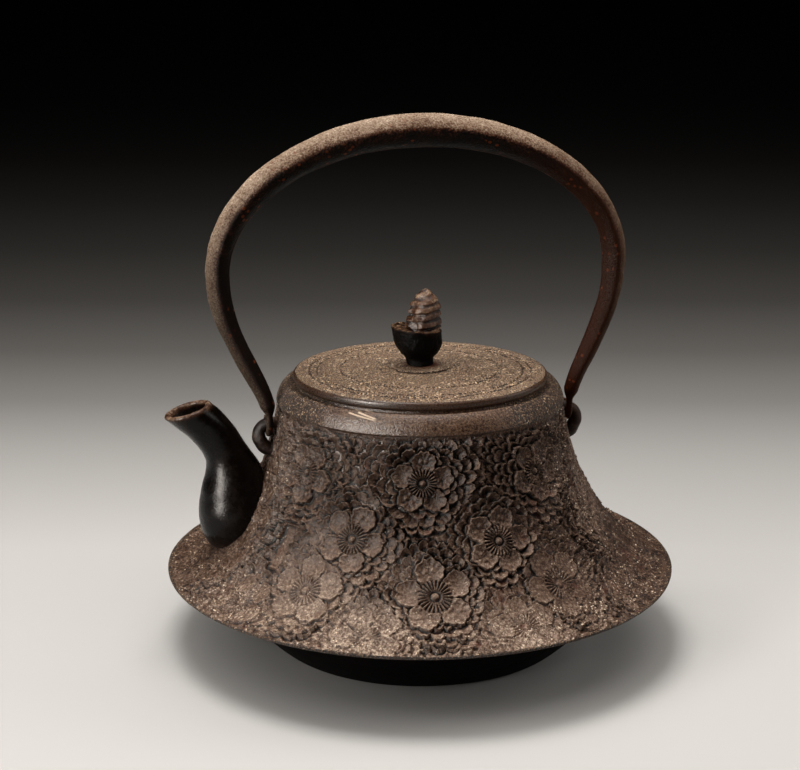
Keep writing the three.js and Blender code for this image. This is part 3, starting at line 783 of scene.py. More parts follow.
def spout_rings(rows, inset, shift):
    """Ellipses between the low and the high edge, each drawn in by inset and moved forward by shift."""
    low, high = spout_low[rows], spout_high[rows]
    across = high - low
    half = np.linalg.norm(across, axis=1, keepdims=True) / 2
    across /= 2 * half
    forward = np.stack([-across[:, 1], across[:, 0]], -1)
    inset = np.reshape(inset, (-1, 1))
    centre = (low + high) / 2 + forward * np.reshape(shift, (-1, 1))
    a = np.radians(full_circle(SPOUT_SIDES))
    reach = (half - inset) * np.cos(a)
    side = (half_line[rows][:, None] - inset) * np.sin(a)
    return np.stack([centre[:, :1] + across[:, :1] * reach, side, centre[:, 1:] + across[:, 1:] * reach], -1)


last = SPOUT_RINGS - 1
bend = np.linspace(0, np.pi, 9)[1:-1]
lip = spout_rings(np.full(7, last), SPOUT_T * (1 - np.cos(bend)) / 2, SPOUT_T * 0.42 * np.sin(bend))
outer_rings = spout_rings(np.arange(SPOUT_RINGS), 0, 0)
dents = layers(outer_rings, (11.0, 21, 0.28), (4.0, 22, 0.06))
outward = unit(outer_rings - outer_rings.mean(1, keepdims=True))
settle = 1 - smooth(np.arange(SPOUT_RINGS), last - 12, last)[:, None]
lumpy_rings = outer_rings + outward * (dents * settle)[..., None]
bore_rows = np.arange(SPOUT_RINGS)[::-1][:-BORE_ENDS_AT]
bore = spout_rings(bore_rows, SPOUT_T, 0)
spout = sheet_mesh("spout_shell", np.concatenate([lumpy_rings, lip, bore]), caps="rows")
spout_solid = sheet_mesh("spout_solid", np.concatenate([lumpy_rings, lip[:3]]), caps="rows")
core_s = np.linspace(wall_length * 0.98, 0, 60)
core_line = np.concatenate([[(0.01, 26)], wall_sheet(core_s, WALL_T), [(44, 104), (0.01, 104)]])
core = sheet_mesh("core_solid", turned(core_line, full_circle(CIRCLE)), caps="rows")
cut(spout, core)
cut(casting, spout_solid)
cut(panels[SPOUT_PANEL], spout_solid)
for cutter in (core, spout_solid):
    bpy.data.objects.remove(cutter)
print("spout", len(spout.data.polygons), "faces")

# %% [markdown]
# ## The bottom and the ears
# The bottom is a smooth shallow bowl under the skirt. Each ear is a thick eye that the handle hooks into:
# an ellipse carried along a bent line, with its feet in the wall.

# %% Build the bottom
BASE_R, BOWL_T = 58, 3
BOWL_FOOT, BOWL_FOOT_REACH, BOWL_SIDE_REACH = 38, 14, 9
foot_handle = np.array((BASE_R, 0)) + turned_by(BOWL_FOOT, BOWL_FOOT_REACH)
bowl_line = cubic([(BASE_R, 0), (BOWL_R, bowl_top)], [foot_handle, (BOWL_R, bowl_top - BOWL_SIDE_REACH)], 70)
bowl_line = along(bowl_line, 70)
bowl_inside = beside(bowl_line, BOWL_T)[::-1]
bottom_profile = np.concatenate([
    [(0.01, 0.0), (BASE_R - 6, 0.0), (BASE_R - 1.2, 0.0)],
    quadratic((BASE_R - 1, 0.0), (BASE_R, 0.0), bowl_line[2], 6)[1:-1],
    bowl_line[2:],
    [(BOWL_R - BOWL_T, under_z(BOWL_R - BOWL_T) - SEAT_GAP)],
    bowl_inside[2:-2],
    [(BASE_R - 3, BOWL_T), (0.01, BOWL_T)],
])
bottom_points = turned(bottom_profile, full_circle(CIRCLE))
uneven = layers(bottom_points, (20.0, 31, 0.2), (4.0, 32, 0.05))
swell(bottom_points, uneven * smooth(bottom_points[..., 2], 1.5, 6))
bottom = sheet_mesh("smooth_bottom", bottom_points, caps="rows")
print("bottom", len(bottom.data.polygons), "faces")


# %% Sweep an outline along a line
def carried(line, start_across):
    """For each point of a 3D line: its direction, and an across vector carried along without twist."""
    way = unit(np.gradient(line, axis=0))
    across = np.empty_like(line)
    held = np.array(start_across, float)
    for i, forward in enumerate(way):
        held = held - forward * (held @ forward)
        held /= np.linalg.norm(held)
        across[i] = held
    return way, across


def sweep(line, start_across, half_across, half_along, sides):
    """Rings round the line: centre + across * a cos + (forward x across) * b sin."""
    way, across = carried(line, start_across)
    side = np.cross(way, across)
    a = np.radians(sides)
    return (line[:, None]
            + across[:, None] * (np.reshape(half_across, (-1, 1)) * np.cos(a))[..., None]
            + side[:, None] * (np.reshape(half_along, (-1, 1)) * np.sin(a))[..., None])


# %% Build the ears
EAR_RISE, EAR_FALL, EAR_OUT = 4.6, 5.8, 5.7
EAR_ROWS, EAR_SIDES = 70, 44
EAR_HALF_T, EAR_HALF_D, EAR_ROOT = 2.2, 2.6, 1.6
ear_wall = float(wall_radius(EAR_Z))
ear_x = ear_wall + EAR_OUT
axis_z = EAR_Z + EAR_RISE
hook_x = (ear_wall + ear_x - EAR_HALF_T) / 2
ear_low = EAR_Z - EAR_FALL
ear_line = through([
    (float(wall_radius(axis_z)) - EAR_ROOT, axis_z),
    (hook_x, axis_z),
    (ear_x - EAR_OUT * 0.17, EAR_Z + EAR_RISE * 0.65),
    (ear_x, EAR_Z),
    (ear_x - EAR_OUT * 0.24, EAR_Z - EAR_FALL * 0.62),
    (hook_x, ear_low),
    (float(wall_radius(ear_low)) - EAR_ROOT, ear_low),
], EAR_ROWS)
down_ear = np.arange(EAR_ROWS)
thick = 1 + 0.2 * smooth(down_ear, 22, 40)
below_hook = 0.15 + 0.85 * smooth(down_ear, 20, 34)[:, None]
ears = []
for side, name in ((-1, "ear_by_spout"), (1, "ear_opposite")):
    line = np.stack([ear_line[:, 0] * side, 0 * ear_line[:, 0], ear_line[:, 1]], -1)
    rings = sweep(line, (0, -1, 0), EAR_HALF_D * thick, EAR_HALF_T * thick, full_circle(EAR_SIDES))
    rough = layers(rings, (2.2, 41, 0.16), (5.0, 42, 0.2)) * below_hook
    centre = rings.mean(1, keepdims=True)
    rings = centre + (rings - centre) * (1 + rough / EAR_HALF_T)[..., None]
    ears.append(sheet_mesh(name, rings, caps="rows"))
print("ears at x", round(ear_x, 1))

# %% [markdown]
# ## The handle
# A smith rolled a sheet of iron into a tapering tube and bent it into an arch. Its edges meet in an open
# seam along the inner side, the hammer left it slightly faceted, and its ends are drawn out into rods that
# hook through the ears. One outline is carried along the whole arch and narrowed to the hooks.

# %% Build the handle
HOOK_R, HOOK_PLAY, HOOK_TIP = 1.25, 0.5, 2.4
SHANK_UP, SHANK_NECK = 3.4, 0.88
BAIL_HALF, BAIL_WIDEST_Z, BAIL_TOP_Z = 77.9, 148, 200.3
BAIL_CROWN_T, BAIL_SIDE_T, BAIL_SHANK_T, BAIL_DEPTH = 12.5, 9.4, 5.8, 1.08
LEG_UPPER_REACH, LEG_LOWER_REACH = 26, 13.4
ARCH_ROWS, LEG_ROWS, HOOK_ROWS = 150, 110, 26
hook_turn = EAR_HALF_T + HOOK_PLAY + HOOK_R


def bail_half():
    """The right half of the handle's middle line from the crown to the hook's tip, and half its thickness."""
    rise = BAIL_TOP_Z - BAIL_WIDEST_Z
    share = np.linspace(0, 1, ARCH_ROWS, endpoint=False)
    a = share * np.pi / 2
    arch = np.stack([BAIL_HALF * np.sin(a), 0 * a, BAIL_WIDEST_Z + rise * np.cos(a)], -1)
    arch_t = BAIL_CROWN_T + (BAIL_SIDE_T - BAIL_CROWN_T) * smooth(share, 0, 1)
    t = np.linspace(0, 1, LEG_ROWS, endpoint=False)
    legs = cubic(
        [(BAIL_HALF, 0, BAIL_WIDEST_Z), (hook_x, -hook_turn, axis_z + SHANK_UP)],
        [(BAIL_HALF, 0, BAIL_WIDEST_Z - LEG_UPPER_REACH),
         (hook_x, -hook_turn, axis_z + SHANK_UP + LEG_LOWER_REACH)], LEG_ROWS + 1)[:-1]
    taper = BAIL_SIDE_T + (BAIL_SHANK_T - BAIL_SIDE_T) * np.minimum(t / SHANK_NECK, 1)
    leg_t = taper + (2 * HOOK_R - taper) * smooth(t, SHANK_NECK, 1)
    turn = np.linspace(0, np.pi, HOOK_ROWS)
    hook = np.stack([hook_x + 0 * turn, -hook_turn * np.cos(turn), axis_z - hook_turn * np.sin(turn)], -1)
    hook = np.concatenate([[(hook_x, -hook_turn, axis_z + SHANK_UP * 0.5)], hook])
    tip = [(hook_x, hook_turn, axis_z + HOOK_TIP * up) for up in (0.5, 0.85, 0.97, 1)]
    tip_half = HOOK_R * np.array([1, 0.9, 0.6, 0.2])
    half = np.concatenate([arch_t / 2, leg_t / 2, [HOOK_R] * (HOOK_ROWS + 1), tip_half])
    return np.concatenate([arch, legs, hook, tip]), half


right_line, right_half = bail_half()
right_across = carried(right_line, (0, 0, 1))[1]
HANDLE_SIDES, CLOSE_AT_SEAM = 88, 26
a = full_circle(HANDLE_SIDES)
a = a + CLOSE_AT_SEAM * np.sin(np.radians(a))
line = np.concatenate([(right_line[1:] * (-1, 1, 1))[::-1], right_line])
half = np.concatenate([right_half[1:][::-1], right_half])
across = np.concatenate([(right_across[1:] * (-1, 1, 1))[::-1], right_across])
side = np.cross(unit(np.gradient(line, axis=0)), across)
sheet = smooth(half, BAIL_SHANK_T / 2 * 0.9, BAIL_SHANK_T / 2 + 0.5)
rad = np.radians(a)
from_seam = np.abs(turned_into(rad - np.pi, 2 * np.pi))[None] * half[:, None]
DIAMOND = 1.5
diamond = (np.abs(np.cos(rad)) ** DIAMOND + np.abs(np.sin(rad)) ** DIAMOND) ** (-1 / DIAMOND)
squarish = 1 + (diamond[None] - 1) * sheet[:, None]
groove = -1.5 * np.exp(-((from_seam / 0.42) ** 4)) + 0.22 * hump(from_seam - 0.95, 0.5)
reach_across = (half[:, None] * squarish + groove * sheet[:, None]) * np.cos(rad)
reach_side = half[:, None] * squarish * (1 + (BAIL_DEPTH - 1) * sheet[:, None]) * np.sin(rad)
bail_points = line[:, None] + across[:, None] * reach_across[..., None]
bail_points = bail_points + side[:, None] * reach_side[..., None]
hammered = layers(bail_points, (13.0, 51, 0.3), (5.5, 52, 0.14), (1.7, 53, 0.05))
hammered = hammered * (0.25 + 0.75 * sheet[:, None])
bail_points = bail_points + unit(bail_points - line[:, None]) * hammered[..., None]
upper = np.broadcast_to(np.cos(rad), bail_points.shape[:2])
bail = sheet_mesh("arch_handle", bail_points, caps="rows", values={"outer": upper, "seam": from_seam})
print("handle", len(bail.data.polygons), "faces")

# %% [markdown]
# ## The lid
# The lid is a nearly flat cast disc with turned rings, a thin light edge, and a flange that drops into the
# mouth. It is one turned outline with fine grain.

# %% Build the lid
LID_R, LID_T, LID_CROWN = 49.4, 2.9, 1.4
LID_GROOVES, GROOVE_W, GROOVE_DEPTH = (43, 40, 31), 0.9, 0.4
FLANGE_PLAY, FLANGE_T, FLANGE_DEPTH = 0.6, 2.5, 6
STEM_R, STEM_PLAY = 1.2, 0.3
LID_CIRCLE = 380
lid_seat_z = BODY_TOP + SEAT_GAP
lid_rim_z = lid_seat_z + LID_T
flange_r = MOUTH_R - FLANGE_PLAY
flange_in = flange_r - FLANGE_T


def crown_z(radius):
    """Height of the lid's top: a parabola over the radius, highest at the centre."""
    return lid_rim_z + LID_CROWN * (1 - (np.asarray(radius, float) / LID_R) ** 2)


top_r = np.linspace(LID_R - 1.2, STEM_R + STEM_PLAY, 190)
ring_cuts = sum(hump(top_r - ring, GROOVE_W * 0.42) for ring in LID_GROOVES)
top = np.stack([top_r, crown_z(top_r) - GROOVE_DEPTH * ring_cuts], -1)
rim = quadratic((LID_R - 0.5, lid_seat_z), (LID_R, lid_seat_z + 0.2), (LID_R, lid_seat_z + 1.2), 5)
rim_top = quadratic((LID_R, lid_rim_z - 1.2), (LID_R, lid_rim_z + 0.1), top[0], 9)[:-1]
stem_hole = STEM_R + STEM_PLAY
lid_profile = np.concatenate([
    [(stem_hole, crown_z(stem_hole) - LID_T), (flange_in / 2, crown_z(flange_in / 2) - LID_T),
     (flange_in - 0.8, crown_z(flange_in) - LID_T), (flange_in, crown_z(flange_in) - LID_T - 0.8),
     (flange_in, lid_seat_z - FLANGE_DEPTH + 0.5), (flange_in + 0.5, lid_seat_z - FLANGE_DEPTH),
     (flange_r - 0.5, lid_seat_z - FLANGE_DEPTH), (flange_r, lid_seat_z - FLANGE_DEPTH + 0.5),
     (flange_r, lid_seat_z - 0.2), (flange_r + 0.2, lid_seat_z)],
    rim, rim_top, top,
])
lid_points = turned(lid_profile, full_circle(LID_CIRCLE))
ring_line = np.r_[np.zeros(len(lid_profile) - len(top_r)), np.clip(ring_cuts, 0, 1)]
grain = layers(lid_points, (0.9, 61, 0.07), (2.2, 62, 0.06), (14.0, 63, 0.12))
on_top = smooth(lid_points[..., 2], lid_seat_z + 0.8, lid_rim_z)
lid_points[..., 2] += grain * on_top * smooth(-lid_profile[:, :1], 0.4 - LID_R, 1 - LID_R)
lid_shape = lid_points.shape[:2]
lid = sheet_mesh("lid_disc", lid_points, wrap_rows=True, values={
    "ring": np.broadcast_to(ring_line[:, None], lid_shape),
    "edge": np.broadcast_to(smooth(lid_profile[:, :1], LID_R - 1.0, LID_R - 0.6), lid_shape)})
print("lid", len(lid.data.polygons), "faces, rim at", round(lid_rim_z, 1))

# %% [markdown]
# ## The knob
# The knob is a small rusty cone that stands in a dark half bowl on a dished washer. The cone carries two
# ridges that wind up it side by side, worn lumpy, and the bowl's top is filled with pale granular iron.

# %% Build the knob
KNOB_SEAT_R, KNOB_SEAT_T = 12, 1
CUP_FOOT_R, CUP_R, CUP_H, CUP_LEAN, CUP_TILT = 5.2, 9.9, 14, -1.6, 5
CONE_R, CONE_H, CONE_OFF, CONE_LEAN = 6.6, 15, 1.5, 3
CONE_TURNS, CONE_STARTS, CONE_GROOVE = 5, 2, 0.15
CONE_FULLNESS, CONE_BLUNTNESS = 2.6, 0.7
KNOB_CIRCLE, STEM_CIRCLE = 150, 48
CUP_ROWS, CUP_TOP_ROWS = 40, 26

seat_z = float(crown_z(0)) + SEAT_GAP
seat_top = seat_z + KNOB_SEAT_T * 0.7
foot_z = seat_top + SEAT_GAP
dish_profile = np.concatenate([
    [(stem_hole, seat_z - 0.05), (KNOB_SEAT_R - 0.5, seat_z - 0.05)],
    quadratic((KNOB_SEAT_R - 0.2, seat_z - 0.05), (KNOB_SEAT_R, seat_z + 0.45),
              (KNOB_SEAT_R - 0.8, seat_z + 0.5), 8),
    quadratic((KNOB_SEAT_R - 1.1, seat_z + 0.48), (KNOB_SEAT_R - 3.2, seat_z + 0.2),
              (CUP_FOOT_R + 0.8, seat_top), 14),
    [(stem_hole, seat_top)],
])
dish_points = turned(dish_profile, full_circle(KNOB_CIRCLE))
dish_points[..., 2] += lumps(dish_points, 1.6, 71) * 0.07
dish_rim = smooth(dish_profile[:, :1], KNOB_SEAT_R - 0.7, KNOB_SEAT_R - 0.3) + 0 * dish_points[..., 0]
near_foot = smooth(-dish_profile[:, :1], -CUP_FOOT_R - 3.5, -CUP_FOOT_R - 0.6)
near_foot = near_foot * (0.45 + 0.55 * smooth(dish_points[..., 0], -2, 5))
dish = sheet_mesh("knob_dish", dish_points, wrap_rows=True, values={"ring": dish_rim, "rust": near_foot})

cup_shape = through([(0, CUP_FOOT_R), (0.12, CUP_FOOT_R * 1.02), (0.35, CUP_R * 0.76), (0.62, CUP_R * 0.93),
                     (1, CUP_R)], CUP_ROWS)
cup_up, cup_half = cup_shape[:, 0], cup_shape[:, 1]
lip_turn = np.linspace(0, np.pi, 9)[1:]
up_line = np.concatenate([cup_up, 1 + 0.03 * np.sin(lip_turn), np.linspace(1, 0.965, CUP_TOP_ROWS)[1:]])
cup_lip = CUP_R - 0.7 * (1 - np.cos(lip_turn))
half_line_cup = np.concatenate([cup_half, cup_lip, np.linspace(CUP_R - 1.4, 0.02, CUP_TOP_ROWS)[1:]])
tilt = np.radians(CUP_TILT) * up_line**2
a = np.radians(full_circle(KNOB_CIRCLE))
cup_points = np.stack([
    (CUP_LEAN * up_line)[:, None] + (half_line_cup * np.cos(tilt))[:, None] * np.cos(a),
    half_line_cup[:, None] * np.sin(a) + 0 * up_line[:, None],
    (foot_z + CUP_H * up_line)[:, None] - (half_line_cup * np.sin(tilt))[:, None] * np.cos(a),
], -1)
cup_rough = layers(cup_points, (1.1, 72, 0.2), (2.6, 73, 0.26), (6.0, 74, 0.3))
cup_rough *= smooth(np.arange(len(up_line)), 2, 30)[:, None] + 0.12
cup_points += unit(cup_points - cup_points.mean((0, 1)) * (1, 1, 0.96)) * cup_rough[..., None]
granular = np.broadcast_to(smooth(np.arange(len(up_line)), 36, 42)[:, None], cup_rough.shape)
cup = sheet_mesh("knob_bowl", cup_points, caps="rows", values={"granular": granular})

rivet_z = float(crown_z(0)) - LID_T - 2 * SEAT_GAP - 1.2
stem_profile = np.array([
    (0.01, rivet_z - 1.6), (2.6, rivet_z - 1.6), (3.6, rivet_z - 1.3), (4.3, rivet_z - 0.7),
    (4.4, rivet_z - 0.1), (4.3, rivet_z), (STEM_R, rivet_z), (STEM_R, foot_z + 0.5), (0.01, foot_z + 0.5),
])
stem = sheet_mesh("knob_stem", turned(stem_profile, full_circle(STEM_CIRCLE)), caps="rows")

cup_top_at = foot_z + CUP_H - (CONE_OFF - CONE_R - CUP_LEAN) * math.tan(math.radians(CUP_TILT))
cone_tip = 0.94 + 0.06 * np.sin(np.linspace(0, np.pi / 2, 14))[1:]
cone_up = np.concatenate([np.linspace(-0.12, 0.94, 110), cone_tip])
a = np.radians(full_circle(KNOB_CIRCLE))[None]
up = np.clip(cone_up, 0, 1)[:, None]
envelope = CONE_R * np.maximum(1 - up**CONE_FULLNESS, 0.0004) ** CONE_BLUNTNESS
ridge = np.cos(2 * np.pi * CONE_TURNS * cone_up[:, None] - CONE_STARTS * a)
broken = lumps(np.stack([3 * np.cos(a) + 0 * up, 3 * np.sin(a) + 0 * up, 15 * up + 0 * a], -1), 2.6, 83)
ridge = 1 - 2 * smooth(-ridge, -0.2, 1) * (0.65 + 0.5 * broken)
cone_r = envelope * (1 - CONE_GROOVE * (1 - ridge) / 2)
cone_points = np.stack([cone_r * np.cos(a), cone_r * np.sin(a), CONE_H * cone_up[:, None] + 0 * a], -1)
cone_rough = layers(cone_points, (3.4, 81, 1.0), (1.6, 82, 0.45))
cone_points[..., :2] *= (1 + cone_rough * smooth(-cone_up, -0.97, -0.8)[:, None] / CONE_R)[..., None]
lean = math.radians(CONE_LEAN)
x, y, z = np.moveaxis(cone_points, -1, 0)
cone_points = np.stack([x * math.cos(lean) + z * math.sin(lean) + CONE_OFF, y,
                        z * math.cos(lean) - x * math.sin(lean) + cup_top_at + SEAT_GAP], -1)
cone = sheet_mesh("knob_cone_ridged", cone_points, caps="rows",
                  values={"ridge": ridge + 0 * up, "up": up + 0 * ridge})
print("knob top at", round(float(cone_points[..., 2].max()), 1))

# %% [markdown]
# ## Finishes
# Old cast iron is never one colour: it is browner where hands and water reach. Faces that look up are painted
# paler, partly as dust and partly as painted top light, and the hollows are painted nearly black as painted
# shade.
# Each finish mixes these by noise and by what the meshes carry.

# %% Finish of the relief
relief_iron = Finish("relief_iron", Specular_IOR_Level=0.2)
wear = relief_iron.value("wear")
painted_top_light_and_dust = relief_iron.value("dust")
grit = relief_iron.value("grit")
patches = relief_iron.noise(30, 4, 0.6)
grain = relief_iron.noise(980, 3, 0.85, shift=3.0)
speckle = relief_iron.noise(210, 3, 0.6, shift=8.0)
# Hollows are painted dark as painted shade under the lips, less so where the iron is gritty. Lips are a
# little lighter, partly wear and partly painted highlight.
clear_of_hollow_shade = wear.above(-0.55, 0.0)
clear_of_hollow_shade = clear_of_hollow_shade + (1 - clear_of_hollow_shade) * grit * 0.45
mottle = (speckle - 0.5) * (grit * 0.5 + 0.25) + (patches - 0.5) * 0.45
# Faces that look up are painted paler, partly dust and partly painted top light. Low at the sides they are
# painted darker as painted shade.
level = clear_of_hollow_shade * 0.56 + wear * 0.08 + (grain - 0.5) * (grit * 1.4 + 1.2) + mottle + painted_top_light_and_dust * 0.34 - 0.075
tone = relief_iron.ramp(level, [
    (0.0, (5, 2, 1)), (0.16, (22, 10, 6)), (0.33, (58, 37, 26)), (0.5, (90, 66, 50)),
    (0.68, (119, 96, 81)), (0.85, (153, 131, 113)), (1.0, (200, 178, 158)),
])
# Pale specks on gritty and up-facing places are painted glints.
painted_glints = relief_iron.glints_and_rust_specks(760, 0.3) * (grit * 1.1 + painted_top_light_and_dust * 0.6)
tone = relief_iron.mix(painted_glints, tone, (240, 218, 192))
rusty = relief_iron.noise(120, 3, 0.6, shift=11.0).above(0.6, 0.72) * 0.35
tone = relief_iron.mix(rusty, tone, (100, 52, 36))
relief_material = relief_iron.cast(tone, (grain - 0.5) * 0.6 + 0.42, grain, 0.0004)

# %% [markdown]
# ### Smooth iron
# The bottom is lacquered black, the ears are rubbed brown and the washer is plain. Colour, gloss and grain
# could each have a noise of their own. Here one noise drives all three, so that a dark grain is also a dull
# and a low one, as in a real skin of oxide.


# %% Finish of the smooth iron
def smooth_iron(name, tones, roughness, bump_depth, specular):
    """Satin iron: one fractal noise picks the tone, roughens the gloss and gives the skin its grain."""
    iron = Finish(name, Specular_IOR_Level=specular)
    grain = iron.noise(150, 6, 0.78, shift=2.0)
    tone = iron.ramp((grain - 0.5) * 1.7 + 0.5, list(zip((0.1, 0.45, 0.7, 0.95), tones)))
    return iron.cast(tone, (grain - 0.5) * 0.5 + roughness, grain, bump_depth)


LACQUER = [(1, 0, 0), (4, 2, 2), (10, 6, 5), (26, 15, 10)]
WORN_BROWN = [(10, 5, 3), (34, 19, 12), (74, 48, 33), (140, 92, 60)]
PLAIN_IRON = [(30, 24, 20), (44, 37, 32), (62, 52, 44), (90, 62, 44)]
bottom_material = smooth_iron("bottom_iron", LACQUER, 0.6, 0.0005, 0.03)
ear_material = smooth_iron("ear_iron", WORN_BROWN, 0.46, 0.0008, 0.18)
washer_material = smooth_iron("washer_iron", PLAIN_IRON, 0.5, 0.0004, 0.4)

# %% [markdown]
# ### The spout
# Lacquer lies thick on the spout, so it is nearly black and it shines. At its toe it has worn to brown, and
# its lip is painted lighter brown, partly as wear and partly as painted highlight. Height, and the distance
# past the mouth's middle, find those two places. A painted mask could do it too, but this one follows when
# the spout's sizes change.

# %% Finish of the spout
spout_iron = Finish("spout_iron", Specular_IOR_Level=0.14)
mouth_across = spout_high[-1] - spout_low[-1]
mouth_way = unit(np.array([-mouth_across[1], 0, mouth_across[0]]))
mouth_centre = (spout_low[-1] + spout_high[-1]) / 2
lip_wear_and_highlight = spout_iron.along(mouth_way, (mouth_centre[0], 0, mouth_centre[1])).above(-1.6, 0.4)
grain = spout_iron.noise(420, 4, 0.75, shift=2.0)
patches = spout_iron.noise(60, 4, 0.6, stretch=(1.6, 1.6, 0.5))
toe = (0.048 - spout_iron.axis("Z")).above(0.0, 0.008)
level = (grain - 0.5) * (toe * 1.2 + lip_wear_and_highlight * 0.8 + 0.4) + (patches - 0.5) * 0.8
# The lip's lighter brown is partly wear and partly painted highlight.
level = level + toe * 0.2 + lip_wear_and_highlight * 0.5 + 0.27
spout_tone = spout_iron.ramp(level, [
    (0.0, (3, 1, 1)), (0.3, (13, 7, 4)), (0.45, (34, 18, 11)), (0.7, (74, 50, 37)), (0.95, (140, 116, 96)),
])
rough = (grain - 0.5) * 0.3 + (patches - 0.5) * 0.2 + toe * 0.2 + 0.27
spout_material = spout_iron.cast(spout_tone, rough, grain, 0.00016)

# %% [markdown]
# ### The collar
# The collar was filed smooth in front and left sandy at the sides, and it has two pale scratches. The mesh
# says where it is sandy. A scratch is a line between two points: how far the surface lies along the line and
# across it gives its ends and its width.

# %% Finish of the collar
collar_iron = Finish("collar_iron", Specular_IOR_Level=0.32)
sandy = collar_iron.value("sandy")
grain = collar_iron.noise(1300, 2, 0.8, shift=2.0)
patches = collar_iron.noise(60, 5, 0.7)
share = (sandy + (patches - 0.5) * 1.6).above(0.1, 0.9)
level = (grain - 0.5) * (share * 2.2 + 1.2) + (patches - 0.5) * 0.4 - share * 0.12 + 0.53
tone = collar_iron.ramp(level, [
    (0.0, (8, 4, 2)), (0.2, (30, 17, 11)), (0.4, (62, 41, 29)), (0.6, (98, 72, 54)), (0.8, (134, 106, 82)),
    (1.0, (190, 160, 128)),
])
# Pale specks on the sandy parts are painted glints.
tone = collar_iron.mix(collar_iron.glints_and_rust_specks(820, 0.3) * share, tone, (236, 206, 168))
SCRATCHES = [((-132.5, 102.95), (-118.9, 101.3)), ((-128.35, 103.38), (-119.0, 101.77))]
SCRATCH_WIDE = 0.14
for ends_of_scratch in SCRATCHES:
    start, end = (turned(np.array([[np.interp(z, collar[:, 1], collar[:, 0]), z]]), [degrees])[0, 0]
                  for degrees, z in ends_of_scratch)
    length = float(np.linalg.norm(end - start))
    way = unit(end - start)
    across = unit(np.cross(way, start * (1, 1, 0)))
    gone, off = collar_iron.along(way, start) * (1 / length), collar_iron.along(across, start)
    on_line = 1 - (off * off).above(SCRATCH_WIDE**2, SCRATCH_WIDE**2 * 4)
    scratch = on_line * gone.above(0, 0.1) * (1 - gone.above(0.8, 1))
    tone = collar_iron.mix(scratch * 0.62, tone, (250, 220, 190))
rough = (grain - 0.5) * 0.6 + share * 0.14 + 0.34
collar_material = collar_iron.cast(tone, rough, grain * (share * 1.5 + 0.3), 0.0009)

# %% [markdown]
# ### The lid and the dish
# The lid's top is sandy iron with dark turned rings, and its edge is plain and brown. Both come from values
# on the mesh, so the dark lines lie exactly in the grooves. The dish under the knob is the same iron with
# rust at the knob's foot.


# %% Finish of the lid
def sandy_iron(name, specular, stain, ring_dark):
    """Sandy brown iron: fine grains on a fractal ground with pale specks that are painted glints, dark turned
    rings and a plain brown edge where the mesh carries them, and a rusty stain."""
    iron = Finish(name, Specular_IOR_Level=specular)
    grain = iron.noise(2050, 1, 0.6, shift=2.0)
    patches = iron.noise(42, 4, 0.6)
    edge = iron.value("edge")
    level = (grain - 0.5) * (4.2 - edge * 3.8) + (patches - 0.5) * 0.3
    level = level - iron.value("ring") * ring_dark - edge * 0.15 + 0.52
    tone = iron.ramp(level, [
        (0.0, (14, 7, 4)), (0.25, (40, 25, 16)), (0.45, (80, 56, 40)), (0.6, (113, 85, 64)),
        (0.78, (150, 121, 96)), (1.0, (208, 178, 148)),
    ])
    # Pale specks off the edge are painted glints.
    tone = iron.mix(iron.glints_and_rust_specks(720, 0.4) * (1 - edge), tone, (240, 214, 182))
    tone = iron.mix(iron.value("rust") * stain, tone, (112, 54, 28))
    return iron.cast(tone, (grain - 0.5) * 0.6 - edge * 0.06 + 0.4, grain * (1.1 - edge), 0.0007)


lid_material = sandy_iron("lid_iron", 0.28, 0, 0.34)
dish_material = sandy_iron("dish_iron", 0.3, 0.75, 0.1)

# %% [markdown]
# ### The handle
# The handle's outer side is painted pale as painted light from above, and its inner side is painted dark as
# painted shade, with a thin painted highlight on the lip beside the seam. Low on the legs it is darker, the
# right leg is darker and redder, and rust specks show mostly on the inner side. The mesh carries how far each
# point faces outwards, and noise breaks up the border between the two.

# %% Finish of the handle
bail_iron = Finish("handle_iron", Specular_IOR_Level=0.05)
outer_side = bail_iron.value("outer")
lit_face = outer_side.above(-0.02, 0.4)
seam = bail_iron.value("seam")
seam_lip_highlight = seam.above(0.6, 1.0) * (1 - seam.above(1.2, 1.6))
right_leg = (bail_iron.axis("X") - bail_iron.axis("Z") * 0.35).above(-0.045, 0.025)
low_leg = (0.165 - bail_iron.axis("Z")).above(0, 0.045)
grain = bail_iron.noise(1300, 2, 0.8, shift=4.0)
patches = bail_iron.noise(150, 4, 0.65)
# Outer side painted pale as painted light, inner side dark as painted shade, and the lip beside the seam a
# painted highlight.
level = (grain - 0.5) * 0.95 + (patches - 0.5) * (1.0 - lit_face * 0.55) - right_leg * 0.1
level = level + lit_face * 0.34 + outer_side * 0.24 + seam_lip_highlight * 0.3 + 0.21
handle_colour = bail_iron.ramp(level, [
    (0.0, (2, 1, 0)), (0.22, (16, 6, 2)), (0.4, (56, 28, 15)), (0.55, (96, 70, 53)),
    (0.72, (140, 117, 98)), (0.88, (170, 148, 128)), (1.0, (216, 194, 170)),
])
handle_colour = bail_iron.mix(low_leg * 0.68, handle_colour, (24, 12, 7))
handle_colour = bail_iron.mix(right_leg * (0.6 - outer_side * 0.3), handle_colour, (58, 25, 7))
orange = bail_iron.glints_and_rust_specks(330, 0.3, 3.0) * (1 - lit_face * 0.6)
handle_colour = bail_iron.mix(orange * 0.6, handle_colour, (128, 62, 32))
handle_material = bail_iron.cast(handle_colour, (grain - 0.5) * 0.7 + low_leg * 0.2 + 0.42, grain, 0.00035)

# %% [markdown]
# ### The cone and the bowl
# The cone's ridges are lighter than the grooves between them, and the cone is lighter towards its tip. The
# bowl is black with pale grains on top. The ridges are in the mesh, so the colour only has to follow them.

